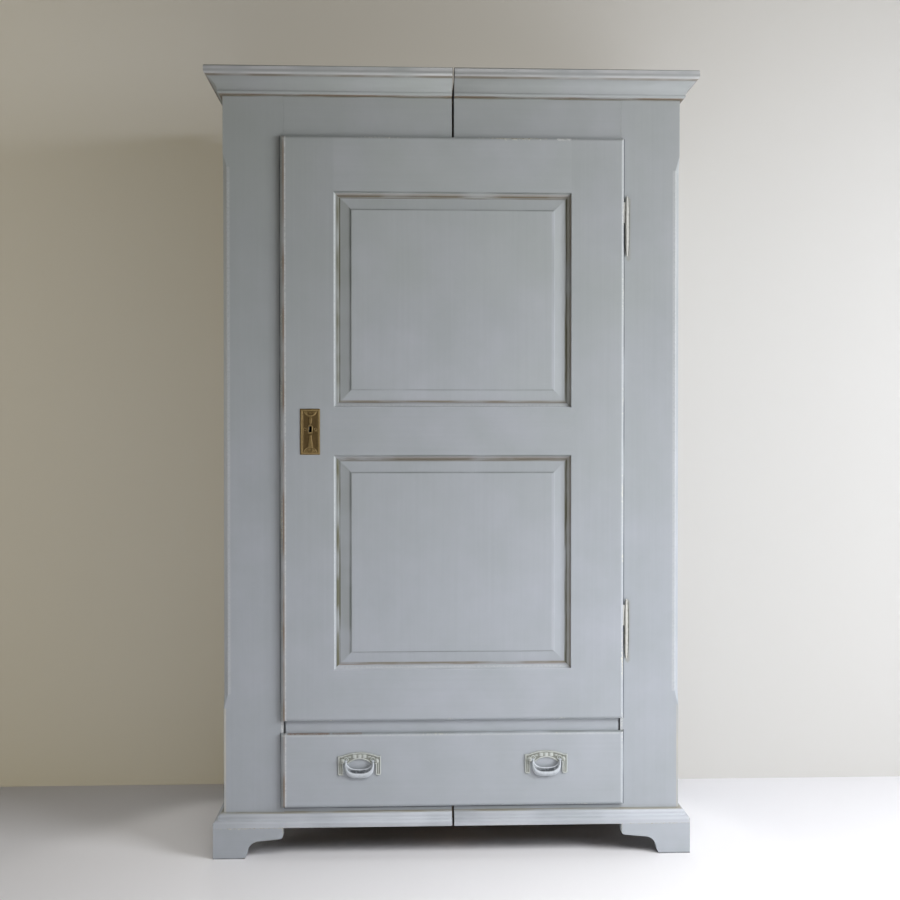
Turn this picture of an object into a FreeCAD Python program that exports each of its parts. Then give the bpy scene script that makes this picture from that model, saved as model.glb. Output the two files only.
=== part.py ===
import FreeCAD, Part
import math
import os

# A bonnetiere: a tall country cupboard with one panelled door and a drawer below it, on bracket feet.
# It is built in a left and a right half, which bolt together at the middle, so it can be carried upstairs.
# X points to the right, Y from the front to the back and Z up. The origin is on the floor, at the middle
# of the whole outline, cornice included. Every size is in millimetres.

V = FreeCAD.Vector
X_AXIS = V(1, 0, 0)
Y_AXIS = V(0, 1, 0)
Z_AXIS = V(0, 0, 1)

# ---- the cabinet's outline, from the floor up --------------------------------------------------------
foot_height = 73.5
base_height = 31.0           # base moulding
bottom_rail_show = 12.5      # bottom rail seen between the base moulding and the drawer
drawer_face_height = 180.0
mid_rail_show = 30.0         # middle rail seen between the drawer and the door
door_face_height = 1414.0
frieze_height = 97.0         # top rail seen between the door and the cornice
cornice_height = 62.0

opening_width = 820.0        # between the two front stiles
stile_width = 145.0
body_depth = 520.0
cornice_projection = 40.0
base_projection = 23.5
split_gap = 4.0              # open joint between the two halves

# ---- profile of the cornice --------------------------------------------------------------------------
cornice_bead_radius = 8.0
cornice_bead_reach = 12.0    # how far the bead at the foot stands out
cornice_step = 1.0           # between the bead and the cove
cove_sag = 4.5               # depth of the cove below its chord
nose_height = 24.0           # from the end of the cove to the top
nose_overhang = 7.0          # the nose stands out this far beyond the cove
nose_step_reach = 2.0
nose_step_rise = 1.5
nose_face_height = 12.0      # upright part of the nose
nose_swell = 1.6
nose_round = 4.0

# ---- profile of the base moulding --------------------------------------------------------------------
base_nose_round = 7.0
base_nose_level = 9.0        # height of the flat under the rounded nose
base_step = 1.0              # between the nose and the cove
base_cove_sag = 1.0
base_cove_drop = 9.0         # from the top to the end of the cove
base_top_round = 8.0
base_top_reach = 4.0

# ---- thickness of the boards -------------------------------------------------------------------------
frame_thickness = 26.0       # stiles and rails of the front
side_thickness = 22.0
top_thickness = 18.0
bottom_thickness = 20.0
floor_thickness = 18.0       # floor of the cupboard, over the drawer
shelf_thickness = 18.0
back_thickness = 12.0
top_sink = 22.0              # how far the top boards lie below the cornice's upper edge
housing_depth = 6.0          # bottom boards let into the sides

# ---- joints of the front frame -----------------------------------------------------------------------
tenon_thickness = 9.0
tenon_length = 40.0
tenon_shoulder = 10.0
mid_rail_gap = 4.0           # open shoulder at each end of the loose middle rail
mid_tenon_length = 22.0
mid_tenon_shoulder = 6.0

# ---- stopped chamfer on the front corners ------------------------------------------------------------
chamfer_size = 10.0
chamfer_run_out = 37.0
chamfer_from_cornice = 174.0  # from the underside of the cornice to the full depth of the chamfer
chamfer_from_base = 289.5     # from the top of the base moulding to the full depth of the chamfer

# ---- bracket feet ------------------------------------------------------------------------------------
foot_width = 76.0            # on the floor
foot_splay = 6.0             # the inner edge leans out by this much
foot_hollow_radius = 30.0
foot_hollow_level = 12.0     # height at which the hollow starts
wing_length = 168.0
wing_drop = 27.0             # depth of the wing's end
wing_radius = 9.0
foot_block_size = 45.0

# ---- door --------------------------------------------------------------------------------------------
lip = 7.0                    # door and drawer faces overlap the frame by this much
lip_thickness = 12.0
lip_round = 8.0              # rounded front edge of the lip
face_gap = 0.5               # between the back of a lip and the frame
fit_gap = 2.0                # between the door or the drawer and its opening
door_thickness = 26.0
door_stile_face = 129.0
door_top_face = 134.5
lock_rail_face = 117.0
door_bottom_face = 125.0
sticking_width = 12.0        # moulding worked on the edges round the panels
sticking_step = 1.5
sticking_round = 6.5
panel_depth = 11.5           # from the door's face to the foot of the panel's bevel
bevel_width = 30.0
field_depth = 5.5            # from the door's face to the panel's raised field
field_step = 1.5
panel_edge = 6.0             # thickness of the panel's tongue
panel_groove = 8.0
panel_play = 1.0             # room for the panel to swell in its groove
door_tenon_length = 45.0
door_tenon_thickness = 8.0
door_tenon_shoulder = 22.0
door_tenon_setback = 5.0     # from the tenon to the back of the door

# ---- hinges ------------------------------------------------------------------------------------------
hinge_offset = 8.0           # from the door's edge to the pin's axis
hinge_radius = 5.75
hinge_half = 73.0            # from the middle of a hinge to each end
hinge_pin_radius = 3.0
hinge_pin_length = 44.0
hinge_pin_play = 0.05
hinge_split = 0.3
hinge_tip_radius = 3.5
hinge_swell_at = 30.0        # from the middle to where the barrel starts to taper
hinge_taper_swell = 0.5      # roundness of the taper
hinge_leaf = 2.0
hinge_leaf_end = 8.0         # the leaf stops this far from the middle
hinge_leaf_height = 50.0
frame_leaf_depth = 20.0
door_leaf_depth = 32.0
upper_hinge_level = 1529.0
lower_hinge_level = 547.0

# ---- lock and escutcheon -----------------------------------------------------------------------------
keyhole_from_edge = 72.0     # from the door's edge to the key's axis
keyhole_level = 1037.5
keyhole_radius = 3.5
keyhole_neck = 5.2           # width of the slot where it leaves the round
keyhole_foot = 7.8           # width of the slot at its foot
keyhole_drop = 10.0          # from the key's axis to the foot of the slot
escutcheon_width = 48.0
escutcheon_height = 111.0
escutcheon_drop = 9.5        # the plate's middle lies this far below the key's axis
escutcheon_thickness = 1.6
escutcheon_rim = 4.5
escutcheon_rim_height = 1.2
escutcheon_fan_radius = 15.0
escutcheon_fan_eye = 3.0     # the blades start this far from the rim
escutcheon_fan_height = 0.7
fan_blades = 5
fan_blade_share = 0.8        # of the angle from one blade to the next
pin_radius = 1.1
pin_head_radius = 2.2
pin_head_height = 0.9
pin_length = 9.0
pin_inset = 9.0
case_height = 104.0
case_below_key = 50.0
case_beyond_key = 24.0
case_depth = 24.0
case_wall = 2.0
bolt_height = 16.0
bolt_thickness = 9.0
bolt_length = 62.0
bolt_above_key = 14.0
bolt_play = 0.3
bolt_throw = 18.0
stile_back_gap = 1.0         # between the thrown bolt and the back of the frame

# ---- drawer ------------------------------------------------------------------------------------------
drawer_front_thickness = 24.0
drawer_side_thickness = 12.0
drawer_back_gap = 36.0       # between the drawer's end and the back boards
drawer_headroom = 6.0        # between the drawer's sides and the middle rail
drawer_bottom_thickness = 8.0
drawer_bottom_level = 9.0    # underside of the bottom above the edge of the sides
drawer_groove = 6.0
drawer_back_inset = 6.0
drawer_back_drop = 12.0
drawer_back_housing = 4.0
running_gap = 0.3
dovetail_length = 16.0
dovetail_count = 4
dovetail_width = 26.0
dovetail_slope = 1.0 / 7.0
guide_width = 22.0
guide_height = 22.0
guide_end_gap = 20.0

# ---- drop handles ------------------------------------------------------------------------------------
handle_spacing = 454.0
handle_level = 231.0         # axis of the bails
plate_thickness = 2.2
plate_half_width = 52.0
plate_rise = 21.0            # crown of the arch above the axis
plate_shoulder = 12.0        # ends of the arch above the axis
plate_arch_half = 43.0
tab_drop = 35.0
tab_width = 13.0
tab_round = 4.0
plate_hollow_half = 28.0
plate_hollow_rise = 4.0
plate_hollow_drop = 8.0
plate_rim_width = 3.0
plate_rim_height = 1.3
rib_count = 3
rib_pitch = 12.0
rib_radius = 2.6
rib_height = 10.0
post_offset = 41.0
post_radius = 4.4
post_reach = 11.5            # from the drawer's face to the tip of the post
bail_axis_reach = 8.5        # from the drawer's face to the bail's axis
bail_half_width = 35.5
bail_drop = 40.0             # from the axis to the bottom of the grip
bail_arm = 5.5
bail_grip = 21.0             # height of the grip at the bottom
bail_outer_corner = 22.0
bail_inner_corner = 14.0
bail_bow = 10.0              # degrees: the grip's edges bow down by this much at their ends
bail_thickness = 6.0
bail_round = 2.2
bail_eye_radius = 3.2
stub_radius = 1.8
stub_length = 4.5
stub_play = 0.05
handle_bolt_radius = 2.5
nut_width = 8.0
nut_height = 3.5

# ---- inside ------------------------------------------------------------------------------------------
shelf_count = 2
shelf_setback = 19.0         # behind the front frame
shelf_side_gap = 1.0
cleat_width = 20.0
cleat_height = 22.0
joint_cleat = 32.0
joint_cleat_height = 30.0
joint_cleat_inset = 10.0
joint_bolt_radius = 4.0
joint_bolt_play = 0.5
joint_bolt_head_radius = 10.0
joint_bolt_head_height = 4.5
joint_bolt_head_round = 2.7
joint_bolt_spare = 12.0      # thread beyond the wing nut's seat
joint_bolt_inset = 55.0      # from each end of a cleat
wing_nut_radius = 8.0
wing_nut_height = 9.0
wing_span = 34.0
wing_thickness = 3.0
wing_height = 14.0
back_board_count = 5         # in each half
back_tongue = 5.0
back_tongue_thickness = 4.0
back_groove_play = 0.5
back_vee = 2.0

# ---- levels and places worked out from the sizes above ------------------------------------------------
base_top = foot_height + base_height
drawer_low = base_top + bottom_rail_show
drawer_high = drawer_low + drawer_face_height
door_low = drawer_high + mid_rail_show
door_high = door_low + door_face_height
cornice_low = door_high + frieze_height
height = cornice_low + cornice_height

bottom_rail_top = drawer_low + lip
mid_rail_low = drawer_high - lip
mid_rail_top = door_low + lip
top_rail_low = door_high - lip
top_high = height - top_sink
top_low = top_high - top_thickness
bottom_low = bottom_rail_top - bottom_thickness
floor_top = mid_rail_low + floor_thickness

front = cornice_projection - (body_depth + cornice_projection) / 2
back = front + body_depth
frame_back = front + frame_thickness
face = front - lip_thickness             # face of the door and of the drawer
back_inside = back - back_thickness
half_open = opening_width / 2
half_body = half_open + stile_width
half_inside = half_body - side_thickness
half_split = split_gap / 2
half_face = half_open + lip              # door and drawer faces
half_fit = half_open - fit_gap           # what goes into the opening

shelf_pitch = (top_low - floor_top - shelf_count * shelf_thickness) / (shelf_count + 1) + shelf_thickness
hinge_x = half_face + hinge_offset
hinge_y = front - hinge_radius - running_gap
keyhole_x = keyhole_from_edge - half_face


# ---- shaping helpers ---------------------------------------------------------------------------------
def box(x, y, z):
    """A board between two limits along each axis."""
    corner = V(min(x), min(y), min(z))
    return Part.makeBox(abs(x[1] - x[0]), abs(y[1] - y[0]), abs(z[1] - z[0]), corner)


def rod(radius, start, direction, length):
    """A round bar from a point along a direction."""
    return Part.makeCylinder(radius, length, start, direction)


def arc(a, b, radius, start, end):
    """Start, middle and end of an arc about (a, b), between two angles in degrees."""
    turns = [math.radians(t) for t in (start, (start + end) / 2, end)]
    return [(a + radius * math.cos(t), b + radius * math.sin(t)) for t in turns]


def bowed(start, end, sag):
    """Three points of an arc whose middle lies sag to the left of the line from start to end."""
    run = math.dist(start, end)
    across = ((start[1] - end[1]) / run, (end[0] - start[0]) / run)
    middle = [(s + e) / 2 + sag * c for s, e, c in zip(start, end, across)]
    return [start, tuple(middle), end]


def flat(outline, place):
    """A face inside an outline of corners, which are points, and arcs, which are lists of three points."""
    edges = []
    stretches = [item if isinstance(item, list) else [item] for item in outline]
    here = place(*stretches[-1][-1])
    for stretch in stretches:
        points = [place(*p) for p in stretch]
        if here.distanceToPoint(points[0]) > 1e-6:
            edges.append(Part.makeLine(here, points[0]))
        if len(points) == 3:
            edges.append(Part.Arc(*points).toShape())
        here = points[-1]
    return Part.Face(Part.Wire(edges))


def prism_x(outline, x):
    """A prism between two limits of X, from an outline in (Y, Z)."""
    return flat(outline, lambda a, b: V(x[0], a, b)).extrude(V(x[1] - x[0], 0, 0))


def prism_y(outline, y):
    """A prism between two limits of Y, from an outline in (X, Z)."""
    return flat(outline, lambda a, b: V(a, y[0], b)).extrude(V(0, y[1] - y[0], 0))


def prism_z(outline, z):
    """A prism between two limits of Z, from an outline in (X, Y)."""
    return flat(outline, lambda a, b: V(a, b, z[0])).extrude(V(0, 0, z[1] - z[0]))


def mirrored(shape):
    """The same piece on the other side of the cabinet."""
    return shape.mirror(V(0, 0, 0), X_AXIS)


def save(name, *solids):
    """Writes one node; several solids make a group of separate pieces."""
    shape = solids[0] if len(solids) == 1 else Part.makeCompound(list(solids))
    shape.exportStep(os.path.join("parts", name + ".step"))


def save_halves(name, *solids):
    """Writes a piece of the right half, and its mirror image for the left half."""
    save(name + "_right", *solids)
    save(name + "_left", *[mirrored(s) for s in solids])


# ---- front frame -------------------------------------------------------------------------------------
def tenon(x, z, shoulder):
    """The tongue at the end of a rail, in the middle of its thickness."""
    middle = front + frame_thickness / 2
    y = (middle - tenon_thickness / 2, middle + tenon_thickness / 2)
    return box(x, y, (z[0] + shoulder, z[1] - shoulder))


def rail_tenon(z):
    return tenon((half_open, half_open + tenon_length), z, tenon_shoulder)


def mid_rail_tenon():
    reach = (half_open - mid_rail_gap, half_open + mid_tenon_length)
    return tenon(reach, (mid_rail_low, mid_rail_top), mid_tenon_shoulder)


def corner_chamfer():
    """What the stopped chamfer takes off a front corner: a trapezium that runs out at both ends."""
    low = base_top + chamfer_from_base
    high = cornice_low - chamfer_from_cornice
    depth = chamfer_size / math.sqrt(2)
    outside = -depth
    outline = [
        (outside, low - chamfer_run_out),
        (0, low - chamfer_run_out),
        (depth, low),
        (depth, high),
        (0, high + chamfer_run_out),
        (outside, high + chamfer_run_out),
    ]
    inward = V(-1, 1, 0).normalize()
    across = V(1, 1, 0).normalize()
    half_cut = 2 * chamfer_size
    start = V(half_body, front, 0) - across * half_cut
    cutter = flat(outline, lambda a, b: start + inward * a + Z_AXIS * b)
    return cutter.extrude(across * 2 * half_cut)


def front_stile():
    top_rail_z = (top_rail_low, top_low)
    bottom_rail_z = (foot_height, bottom_rail_top)
    board = box((half_open, half_body), (front, frame_back), (foot_height, top_low))
    mortises = [rail_tenon(top_rail_z), rail_tenon(bottom_rail_z), mid_rail_tenon()]
    return board.cut([corner_chamfer()] + mortises)


def top_rail():
    z = (top_rail_low, top_low)
    return box((half_split, half_open), (front, frame_back), z).fuse(rail_tenon(z))


def bottom_rail():
    z = (foot_height, bottom_rail_top)
    return box((half_split, half_open), (front, frame_back), z).fuse(rail_tenon(z))


def mid_rail():
    reach = half_open - mid_rail_gap
    board = box((-reach, reach), (front, frame_back), (mid_rail_low, mid_rail_top))
    return board.fuse([mid_rail_tenon(), mirrored(mid_rail_tenon())])


# ---- boards of the case ------------------------------------------------------------------------------
def bottom_board():
    x = (half_split, half_inside + housing_depth)
    return box(x, (frame_back, back_inside), (bottom_low, bottom_rail_top))


def side_board():
    board = box((half_inside, half_body), (frame_back, back), (foot_height, top_low))
    rabbet_x = (half_inside, half_body - side_thickness / 2)
    rabbet = box(rabbet_x, (back_inside, back), (foot_height, top_low))
    return board.cut([rabbet, bottom_board()])


def top_board():
    return box((half_split, half_body), (front, back_inside), (top_low, top_high))


def back_boards(bridging):
    """
    Tongued and grooved boards, from the side's rabbet to the middle.
    With bridging, the last board has a long tongue that closes the split. Without, it has the groove.
    """
    start = half_body - side_thickness / 2
    width = (start - half_split) / back_board_count
    middle = back_inside + back_thickness / 2
    tongue_y = (middle - back_tongue_thickness / 2, middle + back_tongue_thickness / 2)
    groove_y = (tongue_y[0] - back_groove_play / 2, tongue_y[1] + back_groove_play / 2)
    z = (foot_height, top_high)
    boards = []
    for n in range(back_board_count):
        outer = start - n * width
        inner = outer - width
        board = box((inner, outer), (back_inside, back), z)
        for edge, turn in ((inner, 1), (outer, -1)):
            vee = [(edge, back - back_vee), (edge, back), (edge + turn * back_vee, back)]
            board = board.cut(prism_z(vee, z))
        depth = back_tongue + back_groove_play
        last = n == back_board_count - 1
        if n > 0:
            board = board.cut(box((outer - depth, outer), groove_y, z))
        if last and not bridging:
            board = board.cut(box((inner, inner + depth), groove_y, z))
        else:
            gap = split_gap if last else 0
            board = board.fuse(box((inner - gap - back_tongue, inner), tongue_y, z))
        boards.append(board)
    return boards


# ---- mouldings ---------------------------------------------------------------------------------------
def cornice_profile():
    """Outline of the cornice as (projection, height): bead, cove and a thumb-shaped nose."""
    bead_centre = cornice_bead_reach - cornice_bead_radius
    cove_start = (cornice_bead_reach - cornice_step, cornice_bead_radius + cornice_step)
    cove_end = (cornice_projection - nose_overhang, cornice_height - nose_height)
    nose_foot = (cove_end[0] + nose_step_reach, cove_end[1] + nose_step_rise)
    face_low = (cornice_projection, cornice_height - nose_face_height)
    top = cornice_height - nose_round
    nose = bowed(nose_foot, face_low, -nose_swell)
    return [
        (0, 0),
        arc(bead_centre, cornice_bead_radius, cornice_bead_radius, -90, 0),
        bowed(cove_start, cove_end, cove_sag),
        nose,
        arc(cornice_projection - nose_round, top, nose_round, 0, 90),
        (0, cornice_height),
    ]


def base_profile():
    """Outline of the base moulding as (projection, height): rounded nose, shallow cove and a top bead."""
    nose_centre = base_projection - base_nose_round
    cove_start = (nose_centre - base_step, base_nose_level + base_nose_round)
    cove_end = (base_top_reach + base_top_round, base_height - base_cove_drop)
    return [
        (0, 0),
        (base_projection, 0),
        arc(nose_centre, base_nose_level, base_nose_round, 0, 90),
        bowed(cove_start, cove_end, base_cove_sag),
        arc(base_top_reach, base_height - base_top_round, base_top_round, 0, 90),
        (0, base_height),
    ]


def shifted(outline, place):
    """The same outline with every point moved by place."""
    moved = []
    for item in outline:
        moved.append([place(*p) for p in item] if isinstance(item, list) else place(*item))
    return moved


def front_moulding(profile, level, reach):
    """A length of moulding along the right half of the front, mitred at the corner."""
    section = shifted(profile, lambda d, h: (front - d, level + h))
    length = prism_x(section, (half_split, half_body + reach))
    plan = [
        (half_split, front),
        (half_body, front),
        (half_body + reach, front - reach),
        (half_split, front - reach),
    ]
    return length.common(prism_z(plan, (level, level + max_height(profile))))


def side_moulding(profile, level, reach):
    """The same moulding returned along the right side to the back."""
    section = shifted(profile, lambda d, h: (half_body + d, level + h))
    length = prism_y(section, (front - reach, back))
    plan = [
        (half_body, front),
        (half_body, back),
        (half_body + reach, back),
        (half_body + reach, front - reach),
    ]
    return length.common(prism_z(plan, (level, level + max_height(profile))))


def max_height(profile):
    return max(item[1] for item in profile if not isinstance(item, list))


# ---- bracket feet ------------------------------------------------------------------------------------
def bracket_outline():
    """A bracket foot seen from its face: distance from its outer end, and height."""
    hollow_a = foot_width + foot_splay + foot_hollow_radius
    wing_low = foot_height - wing_drop
    return [
        (0, 0),
        (foot_width, 0),
        arc(hollow_a, foot_hollow_level, foot_hollow_radius, 180, 90),
        arc(wing_length - wing_radius, wing_low + wing_radius, wing_radius, -90, 0),
        (wing_length, foot_height),
        (0, foot_height),
    ]


def front_bracket():
    end = half_body + base_projection
    outline = shifted(bracket_outline(), lambda u, h: (end - u, h))
    bracket = prism_y(outline, (front - base_projection, front))
    plan = [
        (end - wing_length, front),
        (half_body, front),
        (end, front - base_projection),
        (end - wing_length, front - base_projection),
    ]
    return bracket.common(prism_z(plan, (0, foot_height)))


def side_bracket():
    end = front - base_projection
    outline = shifted(bracket_outline(), lambda u, h: (end + u, h))
    bracket = prism_x(outline, (half_body, half_body + base_projection))
    plan = [
        (half_body, front),
        (half_body, end + wing_length),
        (half_body + base_projection, end + wing_length),
        (half_body + base_projection, end),
    ]
    return bracket.common(prism_z(plan, (0, foot_height)))


def rear_bracket():
    outline = shifted(bracket_outline(), lambda u, h: (back - u, h))
    return prism_x(outline, (half_body, half_body + base_projection))


def foot_blocks():
    """Square blocks behind the brackets, which carry the weight."""
    x = (half_body - foot_block_size, half_body)
    z = (0, foot_height)
    blocks = [box(x, (front, front + foot_block_size), z), box(x, (back - foot_block_size, back), z)]
    return blocks + [mirrored(b) for b in blocks]


# ---- inside ------------------------------------------------------------------------------------------
def shelf_level(n):
    """Underside of a shelf, counted from the bottom."""
    return floor_top + (n + 1) * shelf_pitch - shelf_thickness


def cupboard_floor():
    x = half_inside - shelf_side_gap
    return box((-x, x), (frame_back, back_inside), (mid_rail_low, floor_top))


def shelf(n):
    x = half_inside - shelf_side_gap
    y = (frame_back + shelf_setback, back_inside)
    return box((-x, x), y, (shelf_level(n), shelf_level(n) + shelf_thickness))


def shelf_cleats():
    """A cleat on each side under the cupboard's floor and under each shelf."""
    levels = [mid_rail_low] + [shelf_level(n) for n in range(shelf_count)]
    x = (half_inside - cleat_width, half_inside)
    y = (frame_back + shelf_setback, back_inside)
    cleats = [box(x, y, (level - cleat_height, level)) for level in levels]
    return cleats + [mirrored(c) for c in cleats]


joint_y = (frame_back + joint_cleat_inset, back_inside - joint_cleat_inset)
joint_levels = (top_low - joint_cleat_height, bottom_low - joint_cleat_height)


def joint_bolt_places():
    """Middle of each of the four bolts that pull the halves together."""
    ys = (joint_y[0] + joint_bolt_inset, joint_y[1] - joint_bolt_inset)
    return [(y, level + joint_cleat_height / 2) for level in joint_levels for y in ys]


def joining_cleats():
    """Battens under the top and bottom boards, two at each, face to face at the middle."""
    radius = joint_bolt_radius + joint_bolt_play
    holes = [rod(radius, V(0, y, z), X_AXIS, joint_cleat) for y, z in joint_bolt_places()]
    cleats = []
    for level in joint_levels:
        batten = box((0, joint_cleat), joint_y, (level, level + joint_cleat_height)).cut(holes)
        cleats += [batten, mirrored(batten)]
    return cleats


def joining_bolts():
    """Round-headed bolts through the cleats from the left, each with a wing nut on the right."""
    pieces = []
    for y, z in joint_bolt_places():
        shank = 2 * joint_cleat + wing_nut_height + joint_bolt_spare
        start = V(-joint_cleat, y, z)
        head_start = start - X_AXIS * joint_bolt_head_height
        head = rod(joint_bolt_head_radius, head_start, X_AXIS, joint_bolt_head_height)
        edges = [e for e in head.Edges if abs(e.CenterOfMass.x - head_start.x) < 1e-6]
        head = head.makeFillet(joint_bolt_head_round, edges)
        pieces.append(head.fuse(rod(joint_bolt_radius, start, X_AXIS, shank)))
        seat = V(joint_cleat, y, z)
        nut = rod(wing_nut_radius, seat, X_AXIS, wing_nut_height)
        half_wing = wing_thickness / 2
        half_span = wing_span / 2
        low = joint_cleat + wing_nut_height / 2
        wings = [
            (-half_span, low + wing_height),
            (-wing_nut_radius / 2, low),
            (wing_nut_radius / 2, low),
            (half_span, low + wing_height),
            (half_span - wing_thickness, low + wing_height),
            (0, low + wing_thickness),
            (wing_thickness - half_span, low + wing_height),
        ]
        blade = flat(wings, lambda a, b: V(b, y + a, z - half_wing)).extrude(V(0, 0, wing_thickness))
        nut = nut.fuse(blade).cut(rod(joint_bolt_radius, seat, X_AXIS, shank))
        pieces.append(nut)
    return pieces


# ---- door --------------------------------------------------------------------------------------------
def panel_levels():
    """Lower and upper limits of the two recesses in the door's face."""
    room = door_face_height - door_top_face - lock_rail_face - door_bottom_face
    low = door_low + door_bottom_face
    middle = low + room / 2
    upper = middle + lock_rail_face
    return [(low, middle), (upper, upper + room / 2)]


def lipped_board(z, thickness):
    """A board for the opening, with a thinner lip all round that laps over the frame."""
    lipped = box((-half_face, half_face), (face, front - face_gap), z)
    edges = []
    for edge in lipped.Edges:
        if abs(edge.CenterOfMass.y - face) < 1e-6:
            edges.append(edge)
    lipped = lipped.makeFillet(lip_round, edges)
    inset = lip + fit_gap
    body = box((-half_fit, half_fit), (front - face_gap, face + thickness), (z[0] + inset, z[1] - inset))
    return lipped.fuse(body)


def recess_half():
    """Half the width of the recesses at the door's face."""
    return half_face - door_stile_face


def sticking_ring(z):
    """What the moulding plane takes off round one panel: a step, a round and a hollow, mitred."""
    half = recess_half()
    hollow = panel_depth - sticking_step - sticking_round
    inner = half - sticking_width
    profile = [
        (half, 0),
        (half, sticking_step),
        arc(half - sticking_round, sticking_step, sticking_round, 0, 90),
        bowed((half - sticking_round, sticking_step + sticking_round), (inner, panel_depth), hollow / 4),
        (inner, 0),
    ]
    middle = (z[0] + z[1]) / 2
    section = flat(profile, lambda a, b: V(-a, face + b, middle))
    corners = [V(-half, face, middle), V(-half, face, z[1]), V(half, face, z[1])]
    corners += [V(half, face, z[0]), V(-half, face, z[0]), V(-half, face, middle)]
    path = Part.makePolygon(corners)
    return path.makePipeShell([section.OuterWire], True, False, 1)


def panel_opening(z):
    """The hole through the frame inside the sticking of one panel."""
    half = recess_half() - sticking_width
    inner_z = (z[0] + sticking_width, z[1] - sticking_width)
    return box((-half, half), (face, face + door_thickness), inner_z)


def panel_blank(z, spare):
    """The panel with its tongues; spare is the room left round them."""
    half = recess_half() - sticking_width + panel_groove + spare
    reach = panel_groove - sticking_width + spare
    y = (face + panel_depth, face + panel_depth + panel_edge)
    return box((-half, half), y, (z[0] - reach, z[1] + reach))


def raised_panel(z):
    """A fielded panel: a bevel all round, a small step, and a raised field in the middle."""
    half = recess_half() - sticking_width
    low = z[0] + sticking_width
    high = z[1] - sticking_width
    foot = face + panel_depth
    shoulder = face + field_depth + field_step

    def frame_wire(inset, y):
        x = half - inset
        corners = [V(-x, y, low + inset), V(x, y, low + inset), V(x, y, high - inset)]
        corners += [V(-x, y, high - inset), V(-x, y, low + inset)]
        return Part.makePolygon(corners)

    slope = Part.makeLoft([frame_wire(0, foot), frame_wire(bevel_width, shoulder)], True, True)
    field_x = half - bevel_width
    field_z = (low + bevel_width, high - bevel_width)
    field = box((-field_x, field_x), (face + field_depth, shoulder), field_z)
    return panel_blank(z, 0).fuse([slope, field])


def stile_region(x_sign):
    """Plan of a door stile seen from the front: its sticking is mitred into the rails' at each recess."""
    outer = x_sign * (half_face + lip)
    edge = x_sign * recess_half()
    inner = x_sign * (recess_half() - sticking_width)
    outline = [(outer, door_low - lip), (edge, door_low - lip)]
    for low, high in panel_levels():
        outline += [
            (edge, low),
            (inner, low + sticking_width),
            (inner, high - sticking_width),
            (edge, high),
        ]
    outline += [(edge, door_high + lip), (outer, door_high + lip)]
    return prism_y(outline, (face - lip, face + 2 * door_thickness))


def keyhole(y):
    """A round hole with a slot below it that widens towards its foot."""
    depth = abs(y[1] - y[0])
    hole = rod(keyhole_radius, V(keyhole_x, min(y), keyhole_level), Y_AXIS, depth)
    foot = keyhole_level - keyhole_drop
    slot = [
        (keyhole_x - keyhole_neck / 2, keyhole_level),
        (keyhole_x - keyhole_foot / 2, foot),
        (keyhole_x + keyhole_foot / 2, foot),
        (keyhole_x + keyhole_neck / 2, keyhole_level),
    ]
    return hole.fuse(prism_y(slot, y))


def door_tenon(z, sign):
    """A tongue of a door rail, let into the stile on one side."""
    edge = recess_half()
    middle = face + door_thickness - door_tenon_setback - door_tenon_thickness / 2
    y = (middle - door_tenon_thickness / 2, middle + door_tenon_thickness / 2)
    x = (sign * edge, sign * (edge + door_tenon_length))
    return box(x, y, (z[0] + door_tenon_shoulder, z[1] - door_tenon_shoulder))


def door_frame():
    """Stiles and rails of the door, cut from one moulded frame with real joints between them."""
    blank = lipped_board((door_low, door_high), door_thickness)
    cutters = []
    for z in panel_levels():
        cutters += [sticking_ring(z), panel_opening(z), panel_blank(z, panel_play)]
    frame = blank.cut(cutters)
    (lower, upper) = panel_levels()
    levels = {
        "door_bottom_rail": (door_low - lip, (lower[0] + lower[1]) / 2),
        "door_lock_rail": ((lower[0] + lower[1]) / 2, (upper[0] + upper[1]) / 2),
        "door_top_rail": ((upper[0] + upper[1]) / 2, door_high + lip),
    }
    tenon_levels = {
        "door_bottom_rail": (door_low, lower[0]),
        "door_lock_rail": (lower[1], upper[0]),
        "door_top_rail": (upper[1], door_high),
    }
    stiles = {-1: frame.common(stile_region(-1)), 1: frame.common(stile_region(1))}
    rails = frame.cut([stile_region(-1), stile_region(1)])
    pieces = {}
    for name, z in levels.items():
        rail = rails.common(box((-half_face, half_face), (face - lip, face + 2 * door_thickness), z))
        for sign in (-1, 1):
            tongue = door_tenon(tenon_levels[name], sign)
            rail = rail.fuse(tongue)
            stiles[sign] = stiles[sign].cut(tongue)
        pieces[name] = rail
    keyway = keyhole((face, face + door_thickness))
    pieces["door_lock_stile"] = stiles[-1].cut([keyway] + escutcheon_pins())
    slots = [door_leaf(level) for level in (upper_hinge_level, lower_hinge_level)]
    pieces["door_hinge_stile"] = stiles[1].cut(slots)
    return pieces


# ---- hinges ------------------------------------------------------------------------------------------
def barrel(sign, level):
    """Half of a hinge's barrel: swollen at the middle of the hinge, tapered to a small round tip."""
    gap = hinge_split / 2
    tip = hinge_half - hinge_tip_radius
    taper_radius = (hinge_radius + hinge_tip_radius) / 2 + hinge_taper_swell
    taper_middle = (taper_radius, (hinge_swell_at + tip) / 2)
    outline = [
        (0, gap),
        (hinge_radius, gap),
        (hinge_radius, hinge_swell_at),
        [(hinge_radius, hinge_swell_at), taper_middle, (hinge_tip_radius, tip)],
        arc(0, tip, hinge_tip_radius, 0, 90),
    ]
    profile = flat(outline, lambda r, h: V(hinge_x + r, hinge_y, level + sign * h))
    return profile.revolve(V(hinge_x, hinge_y, level), Z_AXIS, 360)


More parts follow.
